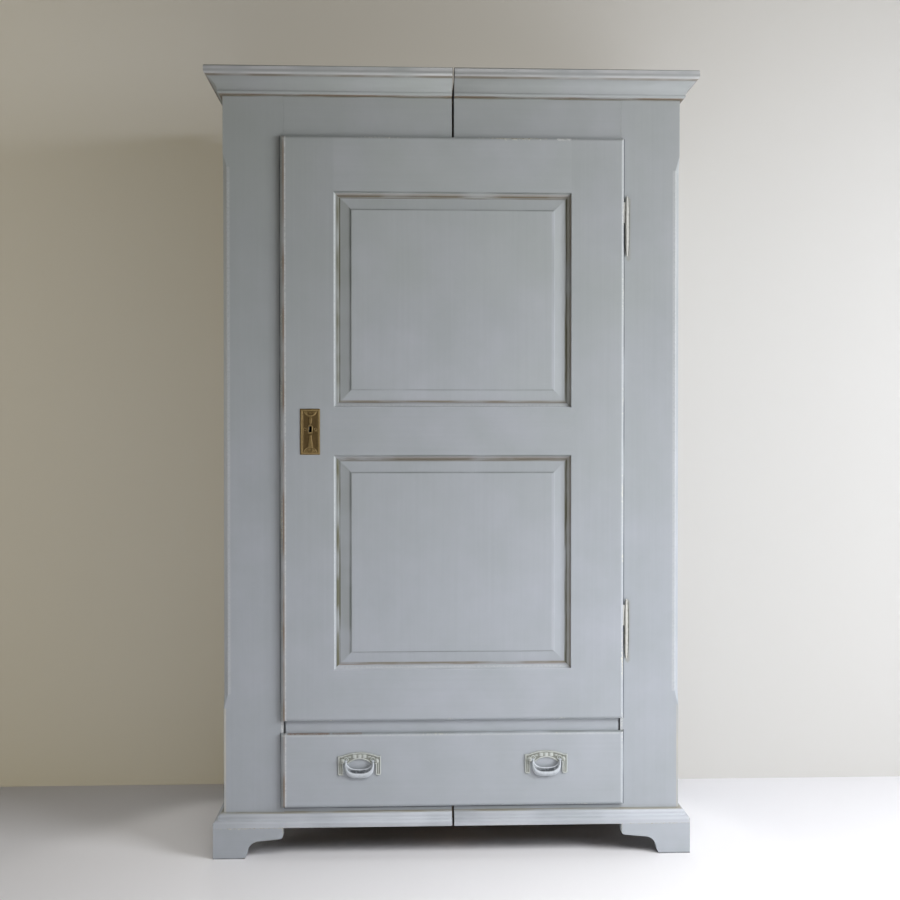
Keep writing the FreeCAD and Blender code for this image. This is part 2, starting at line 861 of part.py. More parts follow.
def frame_leaf(level):
    """Blade of the frame's half, let straight back into the stile."""
    x = (hinge_x - hinge_leaf / 2, hinge_x + hinge_leaf / 2)
    z = (level - hinge_leaf_end - hinge_leaf_height, level - hinge_leaf_end)
    return box(x, (hinge_y, front + frame_leaf_depth), z)


def door_leaf(level):
    """Blade of the door's half, let sideways into the edge of the lip."""
    y = (hinge_y - hinge_leaf / 2, hinge_y + hinge_leaf / 2)
    z = (level + hinge_leaf_end, level + hinge_leaf_end + hinge_leaf_height)
    return box((half_face - door_leaf_depth, hinge_x), y, z)


def hinge_frame_half(level):
    pin = rod(hinge_pin_radius, V(hinge_x, hinge_y, level - hinge_split), Z_AXIS, hinge_pin_length)
    return barrel(-1, level).fuse([frame_leaf(level), pin])


def hinge_door_half(level):
    bore_radius = hinge_pin_radius + hinge_pin_play
    bore = rod(bore_radius, V(hinge_x, hinge_y, level), Z_AXIS, hinge_pin_length)
    return barrel(1, level).fuse(door_leaf(level)).cut(bore)


# ---- lock --------------------------------------------------------------------------------------------
def escutcheon():
    """The brass plate: a raised rim, and a fan of blades that grows from each end."""
    z = escutcheon_z()
    x = (keyhole_x - escutcheon_width / 2, keyhole_x + escutcheon_width / 2)
    plate_front = face - escutcheon_thickness
    plate = box(x, (plate_front, face), z)
    inner_x = (x[0] + escutcheon_rim, x[1] - escutcheon_rim)
    inner_z = (z[0] + escutcheon_rim, z[1] - escutcheon_rim)
    rim_y = (plate_front - escutcheon_rim_height, plate_front)
    rim = box(x, rim_y, z).cut(box(inner_x, rim_y, inner_z))
    blades = fan(inner_z[0], 1, plate_front) + fan(inner_z[1], -1, plate_front)
    plate = plate.fuse([rim] + blades).removeSplitter()
    return plate.cut([keyhole((face - escutcheon_thickness, face))] + escutcheon_pins())


def fan(level, turn, plate_front):
    """Flat blades that spread over half a circle from a point on the rim."""
    blades = []
    pitch = math.pi / fan_blades
    half_blade = pitch * fan_blade_share / 2
    y = (plate_front - escutcheon_fan_height, plate_front)

    def at(radius, angle):
        return (keyhole_x + radius * math.cos(angle), level + turn * radius * math.sin(angle))

    for blade in range(fan_blades):
        middle = (blade + 0.5) * pitch
        turns = (middle - half_blade, middle, middle + half_blade)
        tip = [at(escutcheon_fan_radius, t) for t in turns]
        root = [at(escutcheon_fan_eye, turns[2]), at(escutcheon_fan_eye, turns[0])]
        blades.append(prism_y([tip] + root, y))
    return blades


def escutcheon_z():
    middle = keyhole_level - escutcheon_drop
    return (middle - escutcheon_height / 2, middle + escutcheon_height / 2)


def escutcheon_pins():
    """Two brass pins with low round heads, at the top and bottom of the plate."""
    pins = []
    seat = face - escutcheon_thickness - escutcheon_fan_height
    for level in (escutcheon_z()[0] + pin_inset, escutcheon_z()[1] - pin_inset):
        shank = rod(pin_radius, V(keyhole_x, seat, level), Y_AXIS, pin_length)
        head = rod(pin_head_radius, V(keyhole_x, seat - pin_head_height, level), Y_AXIS, pin_head_height)
        pins.append(shank.fuse(head))
    return pins


def case_limits():
    """Limits of the box lock on the back of the door."""
    x = (-half_fit + stile_back_gap, keyhole_x + case_beyond_key)
    y = (face + door_thickness, face + door_thickness + case_depth)
    z = (keyhole_level - case_below_key, keyhole_level - case_below_key + case_height)
    return x, y, z


def lock_bolt():
    """The sliding bolt, drawn back into the case; it shoots behind the left stile."""
    x, y, z = case_limits()
    low = keyhole_level + bolt_above_key
    near = frame_back + stile_back_gap
    return box((x[0], x[0] + bolt_length), (near, near + bolt_thickness), (low, low + bolt_height))


def lock_case():
    """An iron tray, open towards the door, with a slot for the bolt and two guides for its tail."""
    x, y, z = case_limits()
    inner_x = (x[0] + case_wall, x[1] - case_wall)
    inner_z = (z[0] + case_wall, z[1] - case_wall)
    case = box(x, y, z).cut(box(inner_x, (y[0], y[1] - case_wall), inner_z))
    bolt = lock_bolt().BoundBox
    slot_y = (bolt.YMin - bolt_play, bolt.YMax + bolt_play)
    slot_z = (bolt.ZMin - bolt_play, bolt.ZMax + bolt_play)
    guide_x = (bolt.XMax - 2 * bolt_height, bolt.XMax - bolt_height)
    guides = [
        box(guide_x, (slot_y[0], y[1] - case_wall), (slot_z[0] - case_wall, slot_z[0])),
        box(guide_x, (slot_y[0], y[1] - case_wall), (slot_z[1], slot_z[1] + case_wall)),
    ]
    slot = box((x[0], inner_x[0]), slot_y, slot_z)
    return case.cut(slot).fuse(guides)


# ---- drawer ------------------------------------------------------------------------------------------
drawer_inner_face = face + drawer_front_thickness
drawer_side_low = bottom_rail_top + running_gap
drawer_side_high = mid_rail_low - drawer_headroom
drawer_end = back_inside - drawer_back_gap
half_drawer = half_fit - drawer_side_thickness


def dovetails():
    """The tails at the front end of the right side; each one widens towards its tip."""
    pitch = (drawer_side_high - drawer_side_low) / dovetail_count
    spread = dovetail_length * dovetail_slope
    tip = drawer_inner_face - dovetail_length
    tails = []
    for n in range(dovetail_count):
        middle = drawer_side_low + (n + 0.5) * pitch
        narrow = dovetail_width / 2 - spread
        outline = [
            (drawer_inner_face, middle - narrow),
            (tip, middle - dovetail_width / 2),
            (tip, middle + dovetail_width / 2),
            (drawer_inner_face, middle + narrow),
        ]
        tails.append(prism_x(outline, (half_drawer, half_fit)))
    return tails


def drawer_bottom():
    low = drawer_side_low + drawer_bottom_level
    x = half_drawer + drawer_groove
    y = (drawer_inner_face - drawer_groove, drawer_end)
    return box((-x, x), y, (low, low + drawer_bottom_thickness))


def drawer_back():
    x = half_drawer + drawer_back_housing
    y = (drawer_end - drawer_back_inset - drawer_side_thickness, drawer_end - drawer_back_inset)
    low = drawer_side_low + drawer_bottom_level + drawer_bottom_thickness
    return box((-x, x), y, (low, drawer_side_high - drawer_back_drop))


def drawer_side():
    board = box((half_drawer, half_fit), (drawer_inner_face, drawer_end), (drawer_side_low, drawer_side_high))
    return board.fuse(dovetails()).cut([drawer_bottom(), drawer_back()])


def drawer_front():
    board = lipped_board((drawer_low, drawer_high), drawer_front_thickness)
    tails = dovetails()
    sockets = tails + [mirrored(t) for t in tails]
    holes = []
    for centre in handle_centres():
        for sign in (-1, 1):
            start = V(centre + sign * post_offset, face, handle_level)
            holes.append(rod(handle_bolt_radius, start, Y_AXIS, drawer_front_thickness))
    return board.cut(sockets + [drawer_bottom()] + holes)


def drawer_guides():
    """Battens on the bottom boards that keep the drawer straight."""
    y = (frame_back, back_inside - guide_end_gap)
    z = (bottom_rail_top, bottom_rail_top + guide_height)
    guide = box((half_open, half_open + guide_width), y, z)
    return [guide, mirrored(guide)]


# ---- drop handles ------------------------------------------------------------------------------------
def handle_centres():
    return (-handle_spacing / 2, handle_spacing / 2)


def plate_outline(inset):
    """The back plate, seen from the front: an arched head with a tab hanging at each end."""
    a = plate_half_width - inset
    top = plate_shoulder - inset
    crown = plate_rise - inset
    arch = plate_arch_half - inset
    inner = plate_half_width - tab_width + inset
    low = inset - tab_drop
    round_ = tab_round - inset / 2
    hollow = plate_hollow_half + inset
    hollow_top = plate_hollow_rise + inset
    return [
        [(-arch, top), (0, crown), (arch, top)],
        (a, top),
        arc(a - round_, low + round_, round_, 0, -90),
        arc(inner + round_, low + round_, round_, -90, -180),
        (inner, -plate_hollow_drop + inset),
        [(hollow, -plate_hollow_drop + inset), (0, hollow_top), (-hollow, -plate_hollow_drop + inset)],
        (-inner, -plate_hollow_drop + inset),
        arc(-inner - round_, low + round_, round_, 0, -90),
        arc(-a + round_, low + round_, round_, -90, -180),
        (-a, top),
    ]


def handle_plate(centre):
    """Back plate with a raised rim, ribs at its crown, and a post at each end for the bail."""
    def place(outline):
        return shifted(outline, lambda u, v: (centre + u, handle_level + v))

    plate_front = face - plate_thickness
    plate = prism_y(place(plate_outline(0)), (plate_front, face))
    rim_y = (plate_front - plate_rim_height, plate_front)
    rim = prism_y(place(plate_outline(0)), rim_y).cut(prism_y(place(plate_outline(plate_rim_width)), rim_y))
    extras = [rim]
    low = handle_level + plate_rise - plate_rim_width - rib_height
    for n in range(rib_count):
        x = centre + (n - (rib_count - 1) / 2) * rib_pitch
        rib = rod(rib_radius, V(x, plate_front, low), Z_AXIS, rib_height)
        extras.append(rib.common(box((x - rib_radius, x + rib_radius), (face - post_reach, face),
                                     (low, low + rib_height))))
    for sign in (-1, 1):
        x = centre + sign * post_offset
        post_start = V(x, face, handle_level)
        extras.append(rod(post_radius, post_start, V(0, -1, 0), post_reach))
    holes = []
    for sign in (-1, 1):
        start = V(centre + sign * (bail_half_width - bail_arm), face - bail_axis_reach, handle_level)
        length = bail_arm + stub_length + stub_play
        holes.append(rod(stub_radius + stub_play, start, V(sign, 0, 0), length))
    return plate.fuse(extras).removeSplitter().cut(holes)


def cradle(half_width, drop, corner):
    """Three arcs from left to right: a corner, the bowed edge of the grip, and the other corner."""
    bow = math.radians(bail_bow)
    half_chord = half_width - corner + corner * math.sin(bow)
    sag = half_chord * math.tan(bow / 2)
    level = corner * math.cos(bow) + sag - drop
    left = arc(corner - half_width, level, corner, 180, 270 - bail_bow)
    right = arc(half_width - corner, level, corner, 270 + bail_bow, 360)
    return [left, [left[2], (0, -drop), right[0]], right]


def bail(centre):
    """The drop: two thin arms and a deep grip with round corners, and a stub at each end for the posts."""
    arm = bail_half_width - bail_arm
    outer = cradle(bail_half_width, bail_drop, bail_outer_corner)
    inner = cradle(arm, bail_drop - bail_grip, bail_inner_corner)
    outline = [(-bail_half_width, 0)] + outer + [(bail_half_width, 0), (arm, 0)]
    outline += [item[::-1] for item in inner[::-1]] + [(-arm, 0)]
    loop = prism_y(outline, (-bail_thickness / 2, bail_thickness / 2))
    rims = []
    for edge in loop.Edges:
        middle = edge.CenterOfMass
        if abs(abs(middle.y) - bail_thickness / 2) < 1e-6 and middle.z < -1:
            rims.append(edge)
    loop = loop.makeFillet(bail_round, rims)
    for sign in (-1, 1):
        start = V(sign * arm, 0, 0)
        outward = V(sign, 0, 0)
        eye = rod(bail_eye_radius, start, outward, bail_arm)
        stub = rod(stub_radius, start, outward, bail_arm + stub_length)
        loop = loop.fuse([eye, stub])
    loop.translate(V(centre, face - bail_axis_reach, handle_level))
    return loop


def handle_bolts():
    """A bolt into each post from inside the drawer, with its nut."""
    pieces = []
    for centre in handle_centres():
        for sign in (-1, 1):
            x = centre + sign * post_offset
            start = V(x, face, handle_level)
            shank = rod(handle_bolt_radius, start, Y_AXIS, drawer_front_thickness + nut_height)
            corners = [math.radians(60 * n) for n in range(6)]
            hexagon = [(x + nut_width / 2 * math.cos(t), handle_level + nut_width / 2 * math.sin(t))
                       for t in corners]
            nut = prism_y(hexagon, (drawer_inner_face, drawer_inner_face + nut_height))
            pieces.append(shank.fuse(nut))
    return pieces


# ---- write every node --------------------------------------------------------------------------------
def main():
    os.makedirs("parts", exist_ok=True)

    save("front_stile_left", mirrored(front_stile()))
    slots = [frame_leaf(level) for level in (upper_hinge_level, lower_hinge_level)]
    save("front_stile_right", front_stile().cut(slots))
    save_halves("top_rail", top_rail())
    save_halves("bottom_rail", bottom_rail())
    save("mid_rail", mid_rail())

    save_halves("side_board", side_board())
    save_halves("top_board", top_board())
    save_halves("bottom_board", bottom_board())
    save("back_boards_right", *back_boards(False))
    save("back_boards_left", *[mirrored(b) for b in back_boards(True)])

    save_halves("cornice_front", front_moulding(cornice_profile(), cornice_low, cornice_projection))
    save_halves("cornice_side", side_moulding(cornice_profile(), cornice_low, cornice_projection))
    save_halves("base_moulding_front", front_moulding(base_profile(), foot_height, base_projection))
    save_halves("base_moulding_side", side_moulding(base_profile(), foot_height, base_projection))

    save_halves("foot_bracket_front", front_bracket())
    save_halves("foot_bracket_side", side_bracket())
    save_halves("foot_bracket_rear", rear_bracket())
    save("foot_blocks", *foot_blocks())

    save("cupboard_floor", cupboard_floor())
    save("shelf_lower", shelf(0))
    save("shelf_upper", shelf(1))
    save("shelf_cleats", *shelf_cleats())
    save("drawer_guides", *drawer_guides())
    save("joining_cleats", *joining_cleats())
    save("joining_bolts", *joining_bolts())

    for name, piece in door_frame().items():
        save(name, piece)
    lower, upper = panel_levels()
    save("door_panel_lower", raised_panel(lower))
    save("door_panel_upper", raised_panel(upper))
    save("hinge_frame_leaves", hinge_frame_half(lower_hinge_level), hinge_frame_half(upper_hinge_level))
    save("hinge_door_leaves", hinge_door_half(lower_hinge_level), hinge_door_half(upper_hinge_level))
    save("escutcheon", escutcheon())
    save("escutcheon_pins", *escutcheon_pins())
    save("lock_case", lock_case())
    save("lock_bolt", lock_bolt())

    save("drawer_front", drawer_front())
    save_halves("drawer_side", drawer_side())
    save("drawer_back", drawer_back())
    save("drawer_bottom", drawer_bottom())
    for name, centre in zip(("left", "right"), handle_centres()):
        save("handle_plate_" + name, handle_plate(centre))
        save("handle_bail_" + name, bail(centre))
    save("handle_bolts", *handle_bolts())


main()
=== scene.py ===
# %% [markdown]
# # A painted bonnetiere
#
# A bonnetiere is a tall, narrow country cupboard with one door. This one stands on bracket feet, has a
# drawer with two drop handles under the door, and comes apart down the middle so that it can be carried.
# Every board was packed as a solid beforehand. Here the solids get their finishes, and the small cast and
# stamped fittings, which live from their relief, are worked out anew as numpy surfaces.

# %% Load the solids
import math

import bmesh
import bpy
import numpy as np
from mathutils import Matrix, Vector


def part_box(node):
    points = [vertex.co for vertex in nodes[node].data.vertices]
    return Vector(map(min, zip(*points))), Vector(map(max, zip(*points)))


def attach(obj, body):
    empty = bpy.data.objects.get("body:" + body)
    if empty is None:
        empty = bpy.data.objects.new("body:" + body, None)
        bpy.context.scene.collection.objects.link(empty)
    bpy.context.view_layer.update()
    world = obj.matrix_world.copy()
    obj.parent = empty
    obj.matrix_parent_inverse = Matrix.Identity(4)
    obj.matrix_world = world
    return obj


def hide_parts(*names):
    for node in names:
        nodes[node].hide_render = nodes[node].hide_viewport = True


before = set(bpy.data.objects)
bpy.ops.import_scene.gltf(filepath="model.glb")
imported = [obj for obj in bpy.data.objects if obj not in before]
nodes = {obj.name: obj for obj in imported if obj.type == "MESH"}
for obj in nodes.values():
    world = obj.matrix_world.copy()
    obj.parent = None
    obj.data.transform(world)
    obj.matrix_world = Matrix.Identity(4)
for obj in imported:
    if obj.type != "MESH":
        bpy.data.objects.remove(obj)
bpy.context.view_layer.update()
MM = 0.001

# %% [markdown]
# ## Small helpers for finishes
#
# Paint and metal colours are given as sRGB codes, but a shader adds and multiplies light, which
# needs linear numbers, so one function turns the codes. A node tree could be wired link by link. It reads
# better when each node is one line, so one function adds any node with its settings and links. Patterns
# are worked out in millimetres on the object, and a seed shifts them, so that no two boards are alike.
# Colours are glazed over each other, as a painter would lay them.


# %% Colour and node helpers
def linear(code):
    """The linear colour of an sRGB hex code: the low end is straight, the rest a power of 2.4."""
    shares = [int(code[n:n + 2], 16) / 255 for n in (1, 3, 5)]
    return [s / 12.92 if s <= 0.04045 else ((s + 0.055) / 1.055) ** 2.4 for s in shares] + [1.0]


def add(tree, kind, inputs=None, **settings):
    """Adds one shader node. A value is a number, a socket, or a node, whose first live output is used."""
    node = tree.nodes.new("ShaderNode" + kind)
    for name, value in settings.items():
        setattr(node, name, value)
    for key, value in (inputs or {}).items():
        slots = [s for s in node.inputs if s.enabled and key in (s.name, s.identifier)]
        slot = node.inputs[key] if isinstance(key, int) else slots[0]
        if isinstance(value, bpy.types.Node):
            value = next(s for s in value.outputs if s.enabled)
        if isinstance(value, bpy.types.NodeSocket):
            tree.links.new(value, slot)
        else:
            slot.default_value = value
    return node


def new_finish(name):
    """A material with an empty node tree, and that tree."""
    material = bpy.data.materials.new(name)
    material.use_nodes = True
    material.node_tree.nodes.clear()
    return material, material.node_tree


def glaze(tree, tone, layers):
    """Lays colours over a tone one by one, each by its share: 0 leaves the tone, 1 covers it."""
    for share, colour in layers:
        tone = add(tree, "Mix", {"Factor": share, "A": tone, "B": linear(colour)}, data_type="RGBA")
    return tone


SEED_SHIFT = (611, 377, 199)


def place_in_mm(tree):
    """The place on the object, in millimetres."""
    place = add(tree, "TexCoord").outputs["Object"]
    return add(tree, "VectorMath", {0: place, "Scale": 1 / MM}, operation="SCALE")


def shifted_by(tree, point, seed):
    """The same place moved by a seed times three unlike lengths."""
    return add(tree, "VectorMath", {0: point, 1: [seed * mm for mm in SEED_SHIFT]}, operation="ADD")


def along_grain(tree, point, grain, length, width):
    """The place for a pattern that is so many mm long along the grain's axis and so many wide."""
    scale = [1 / length if axis == grain else 1 / width for axis in "XYZ"]
    return add(tree, "Mapping", {"Vector": point, "Scale": scale})


print("linear grey of #808080:", round(linear("#808080")[0], 3))

# %% [markdown]
# ## Rubbed chalk paint
#
# The cupboard is pine under an old pale undercoat and a blue-grey chalk paint, laid on with a brush along
# each board and then rubbed through where hands and dusters pass. An image could carry the wear, but it
# would not follow the boards. Instead each board's material knows the two corners of its box. On a face of
# the box the distance to the nearest arris is the middle one of the three distances to the walls, and the
# paint is rubbed where that distance is smaller than a width that changes along the edge. First the chalky
# undercoat shows, then, further in, the brown wood.

# %% Sizes and colours of the paint
PAINT = "#ABB0B5"
PAINT_LIGHT = "#B2B6BD"  # in the clouds of the paint
PAINT_WARM = "#ABB1B1"   # where its hue has drifted
SHADE_FILM_LOW = "#FDFEFF"     # painted shade: the paint is made darker and warmer towards the top
SHADE_FILM_HIGH = "#F0EFE8"
SHADE_FILM_START, SHADE_FILM_END = 600.0, 1850.0  # mm above the floor
UNDERCOAT = "#C9CAC2"
RUBBED_WOOD = "#7F705A"
BRUSH_WIDTH = 7.0        # mm between the brush's streaks
BRUSH_LENGTH = 420.0
CLOUD = 95.0             # mm across a cloud in the paint
DRIFT = 420.0            # mm over which the hue drifts
RUB_SPACING = 130.0      # mm between rubbed stretches of an edge
CHIP = 5.0               # mm across a chip

# Paler than the paint: thin, thick or chalky paint on edges and noses, and partly painted highlights where
# these catch the light.
CHALK_AND_HIGHLIGHT_LINE = "#E2E3E0"
PALE_PAINT_AND_HIGHLIGHT = "#C6CAD1"
NOSE_PAINT_AND_HIGHLIGHT = "#D1D0D0"
EDGE_BEIGE = "#C9C2B0"
# Darker than the paint: dirt in hollows and seams, and painted shade and shadows: in gaps, in recesses on the
# side away from the light, beside the lips and the hinges, and under the drawer and the feet.
HINGE_SHADOW = "#96917F"
SEAM_AND_SHADE_BEIGE = "#8C8466"
BEVEL_SHADE = "#868B7E"
DRAB_LINE = "#7E7259"
BROWN_LINE = "#7D6346"
RUST_LINE = "#7A5A41"
GREY_SHADE_LINE = "#6C726C"
NOSE_LINE = "#6E6450"
HOLLOW_LINE = "#685D48"
OLIVE_LINE = "#5F5E46"
LIP_SHADOW = "#4A5057"
FOOT_CONTACT_SHADOW = "#2B2723"
GAP_SHADE = "#14171A"

print("brush streaks every", BRUSH_WIDTH, "mm")


# %% Distances that wear follows
def arris_distance(tree, point, low, high):
    """Distance in mm to the nearest edge of a box: the middle one of the distances to its walls."""
    from_low = add(tree, "VectorMath", {0: point, 1: low}, operation="SUBTRACT")
    from_high = add(tree, "VectorMath", {0: high, 1: point}, operation="SUBTRACT")
    nearest = add(tree, "VectorMath", {0: from_low, 1: from_high}, operation="MINIMUM")
    x, y, z = add(tree, "SeparateXYZ", {"Vector": nearest}).outputs
    smaller = add(tree, "Math", {0: x, 1: y}, operation="MINIMUM")
    larger = add(tree, "Math", {0: x, 1: y}, operation="MAXIMUM")
    capped = add(tree, "Math", {0: larger, 1: z}, operation="MINIMUM")
    return add(tree, "Math", {0: smaller, 1: capped}, operation="MAXIMUM")


def past_ends(tree, value, middle, half):
    """How far a value lies past either end of a run round its middle, in mm; negative inside it."""
    centred = add(tree, "Math", {0: value, 1: middle}, operation="SUBTRACT")
    away = add(tree, "Math", {0: centred}, operation="ABSOLUTE")
    return add(tree, "Math", {0: away, 1: half}, operation="SUBTRACT")


def level_distance(tree, point, axis, level, half=0.0, run=None):
    """
    Distance in mm from a band along one axis, half wide to either side of its level. A run is a second
    axis with two ends, and what lies past them is added.
    """
    place = add(tree, "SeparateXYZ", {"Vector": point}).outputs
    outside = past_ends(tree, place[axis], level, half)
    distance = add(tree, "Math", {0: outside, 1: 0.0}, operation="MAXIMUM")
    if run is None:
        return distance
    other, low, high = run
    past = past_ends(tree, place[other], (low + high) / 2, (high - low) / 2)
    past = add(tree, "Math", {0: past, 1: 0.0}, operation="MAXIMUM")
    return add(tree, "Math", {0: past, 1: distance}, operation="ADD")


def side_distance(tree, point, ring, side, inset):
    """Distance in mm from a line inside one side of a rectangle; past the mitres it grows faster."""
    half_x, low_z, high_z = ring
    x, _, z = add(tree, "SeparateXYZ", {"Vector": point}).outputs
    value, sign, reach = {"left": (x, -1, half_x), "right": (x, 1, half_x),
                          "up": (z, 1, high_z), "down": (z, -1, -low_z)}[side]
    own = add(tree, "Math", {0: value, 1: sign, 2: -reach}, operation="MULTIPLY_ADD")
    past_x = past_ends(tree, x, 0.0, half_x)
    past_z = past_ends(tree, z, (low_z + high_z) / 2, (high_z - low_z) / 2)
    past = add(tree, "Math", {0: past_x, 1: past_z}, operation="MAXIMUM")
    stray = add(tree, "Math", {0: past, 1: own}, operation="SUBTRACT")
    shifted = add(tree, "Math", {0: own, 1: inset}, operation="ADD")
    from_line = add(tree, "Math", {0: shifted}, operation="ABSOLUTE")
    return add(tree, "Math", {0: stray, 1: 4.0, 2: from_line}, operation="MULTIPLY_ADD")


print("wear follows arrises, levels and sides")


# %% The paint itself
def rubbed(tree, distance, width, patches, chips):
    """1 where the distance is under a width that grows and shrinks with the patches and the chips."""
    reach = add(tree, "Math", {0: patches, 1: width}, operation="MULTIPLY")
    ragged = add(tree, "Math", {0: chips, 1: width * 0.8, 2: reach}, operation="MULTIPLY_ADD")
    gap = add(tree, "Math", {0: ragged, 1: distance}, operation="SUBTRACT")
    return add(tree, "MapRange", {"Value": gap})


def settled(tree, distance, width, strength, patches):
    """A soft line of dirt, of wear, or of painted light and shade: strongest on the line, nothing at width,
    fainter in some stretches.
    """
    near = add(tree, "MapRange", {"Value": distance, "From Min": width, "From Max": 0.25 * width,
                                  "To Max": strength}, interpolation_type="SMOOTHSTEP")
    if strength == 1:
        return near
    share = add(tree, "MapRange", {"Value": patches, "From Min": 0.36, "From Max": 0.56, "To Min": 0.3})
    return add(tree, "Math", {0: near, 1: share}, operation="MULTIPLY")


def painted_wood(name, box, grain, seed, rub, lines, light):
    """Blue-grey chalk paint on one board. Each line is (distance, its facts, width, strength, colour)."""
    material, tree = new_finish(name)
    point = place_in_mm(tree)
    moved = shifted_by(tree, point, seed)
    brushed = along_grain(tree, moved, grain, BRUSH_LENGTH, BRUSH_WIDTH)
    streaks = add(tree, "TexNoise", {"Vector": brushed, "Scale": 1.0, "Detail": 3.0, "Roughness": 0.6})
    clouds = add(tree, "TexNoise", {"Vector": point, "Scale": 1 / CLOUD, "Detail": 4.0, "Roughness": 0.55})
    drift = add(tree, "TexNoise", {"Vector": point, "Scale": 1 / DRIFT, "Detail": 2.0})
    patches = add(tree, "TexNoise", {"Vector": moved, "Scale": 1 / RUB_SPACING, "Detail": 2.0})
    chips = add(tree, "TexNoise", {"Vector": point, "Scale": 1 / CHIP, "Detail": 3.0, "Roughness": 0.65})
    chance = add(tree, "MapRange", {"Value": patches, "From Min": 0.45, "From Max": 0.68})
    grit = add(tree, "MapRange", {"Value": chips, "From Min": 0.3, "From Max": 0.7, "To Min": -1.0})

    # The clouds and the drifting hue are the paint's own; the drift grows towards the top, as part of the
    # painted shade there.
    cloudy = add(tree, "MapRange", {"Value": clouds, "From Min": 0.3, "From Max": 0.75})
    up = add(tree, "SeparateXYZ", {"Vector": point}).outputs["Z"]
    towards_top = add(tree, "MapRange", {"Value": up, "From Min": SHADE_FILM_START, "From Max": SHADE_FILM_END})
    drifted = add(tree, "MapRange", {"Value": drift, "From Min": 0.42, "From Max": 0.62, "To Max": 0.7})
    most = add(tree, "MapRange", {"Value": towards_top, "To Min": 0.15})
    warm = add(tree, "Math", {0: drifted, 1: most}, operation="MULTIPLY")
    tone = glaze(tree, linear(PAINT), [(cloudy, PAINT_LIGHT), (warm, PAINT_WARM)])
    shade = add(tree, "MapRange", {"Value": streaks, "From Min": 0.3, "From Max": 0.7,
                                   "To Min": 0.985 * light, "To Max": 1.015 * light})
    # Painted shade: a film that makes the paint darker and warmer towards the top, where less light reaches
    # the case.
    shade_film = glaze(tree, linear(SHADE_FILM_LOW), [(towards_top, SHADE_FILM_HIGH)])
    for film in (shade, shade_film):
        tone = add(tree, "Mix", {"Factor": 1.0, "A": tone, "B": film}, data_type="RGBA",
                   blend_type="MULTIPLY")

    edge = arris_distance(tree, point, *box)
    chalk = rubbed(tree, edge, rub * 1.4, chance, grit)
    wood = rubbed(tree, edge, rub * 0.7, chance, grit)
    layers = [(chalk, UNDERCOAT), (wood, RUBBED_WOOD)]
    for distance, facts, width, strength, colour in lines:
        broken = chips if colour in (CHALK_AND_HIGHLIGHT_LINE, RUST_LINE) else patches
        layers.append((settled(tree, distance(tree, point, *facts), width, strength, broken), colour))
    tone = glaze(tree, tone, layers)

    brush = add(tree, "Math", {0: streaks, 1: 0.12}, operation="MULTIPLY")
    height = add(tree, "Math", {0: wood, 1: -0.25, 2: brush}, operation="MULTIPLY_ADD")
    bump = add(tree, "Bump", {"Height": height, "Distance": MM, "Strength": 0.8})
    sheen = add(tree, "MapRange", {"Value": clouds, "To Min": 0.5, "To Max": 0.68})
    shader = add(tree, "BsdfPrincipled", {"Base Color": tone, "Roughness": sheen, "Normal": bump,
                                          "Specular IOR Level": 0.3})
    add(tree, "OutputMaterial", {"Surface": shader})
    return material


def corners(*names):
    """The box round one or several solids, in mm."""
    lows, highs = zip(*(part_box(name) for name in names))
    return [min(ends) / MM for ends in zip(*lows)], [max(ends) / MM for ends in zip(*highs)]


print("paint is ready")

# %% [markdown]
# ## The painted boards
#
# Each board gets the paint with the brush running along it. The door counts as one box, because its
# stiles and rails were painted as one. The lines are partly wear, where a duster catches: the foot of the
# mouldings round the panels, the arris of the raised fields, and the joints above and below the cornice.
# They are partly painted light and shade: dark lines in gaps, beside the lips, the hinges and the feet and
# on the sides of the recesses away from the light, and pale lines where edges and noses catch it.
# The solids have sharp arrises, which no hand-planed board has, so Weld joins their loose triangles and a
# narrow Bevel rounds them. A few boards are made a little lighter or darker, which is painted light and
# shade.

# %% Round the arrises and dress the case
HINGE_X = 425.0                 # mm from the middle to the hinge pins
HINGE_LEVELS = (547.0, 1529.0)  # mm above the floor, as the levels below are
CHAMFER = (394.0, 1664.0)       # the full part of the chamfers on the front stiles
CHAMFER_STOP = 357.0            # the foot of their lower stops
MID_RAIL_SEED, DOOR_SEED, PANEL_SEED, DRAWER_SEED = 31, 40, 50, 60
cornice_low, cornice_high = (c[2] for c in corners("cornice_front_left"))
base_low, base_high = (c[2] for c in corners("base_moulding_front_left"))
body_x = corners("front_stile_right")[1][0]


def soften(node, width):
    """Joins the loose triangles of a solid and rounds its arrises, without touching its mesh."""
    weld = node.modifiers.new("join_triangles", "WELD")
    weld.merge_threshold = 0.01 * MM
    bevel = node.modifiers.new("soft_arris", "BEVEL")
    bevel.width = width * MM
    bevel.segments = 2
    bevel.limit_method = "ANGLE"
    bevel.angle_limit = math.radians(35)


def dress(node, material):
    """Gives a solid one finish."""
    node.data.materials.clear()
    node.data.materials.append(material)


def wear_and_shade_line(axis, level, width, strength, colour, half=0.0, run=None):
    """One line at a level, of wear, of dirt, or of painted light and shade, as painted_wood takes it."""
    return level_distance, (axis, level, half, run), width, strength, colour


nose_foot = cornice_low + 39.5
nose_half = (cornice_high - nose_foot) / 2
base_middle, base_half = (base_low + base_high) / 2, (base_high - base_low) / 2
opening_x = corners("front_stile_left")[1][0]
rail_low, rail_high = corners("mid_rail")
# Painted shade: the split down the middle is painted near black, where the gap between the halves lies in
# shadow.
split = [wear_and_shade_line("X", 0.0, 1.0, 1.0, GAP_SHADE, half=2.05)]
under_bead = [wear_and_shade_line("Z", cornice_low - 1.0, 3.2, 0.6, OLIVE_LINE),
              wear_and_shade_line("Z", cornice_low + 0.5, 2.0, 0.6, BROWN_LINE)]
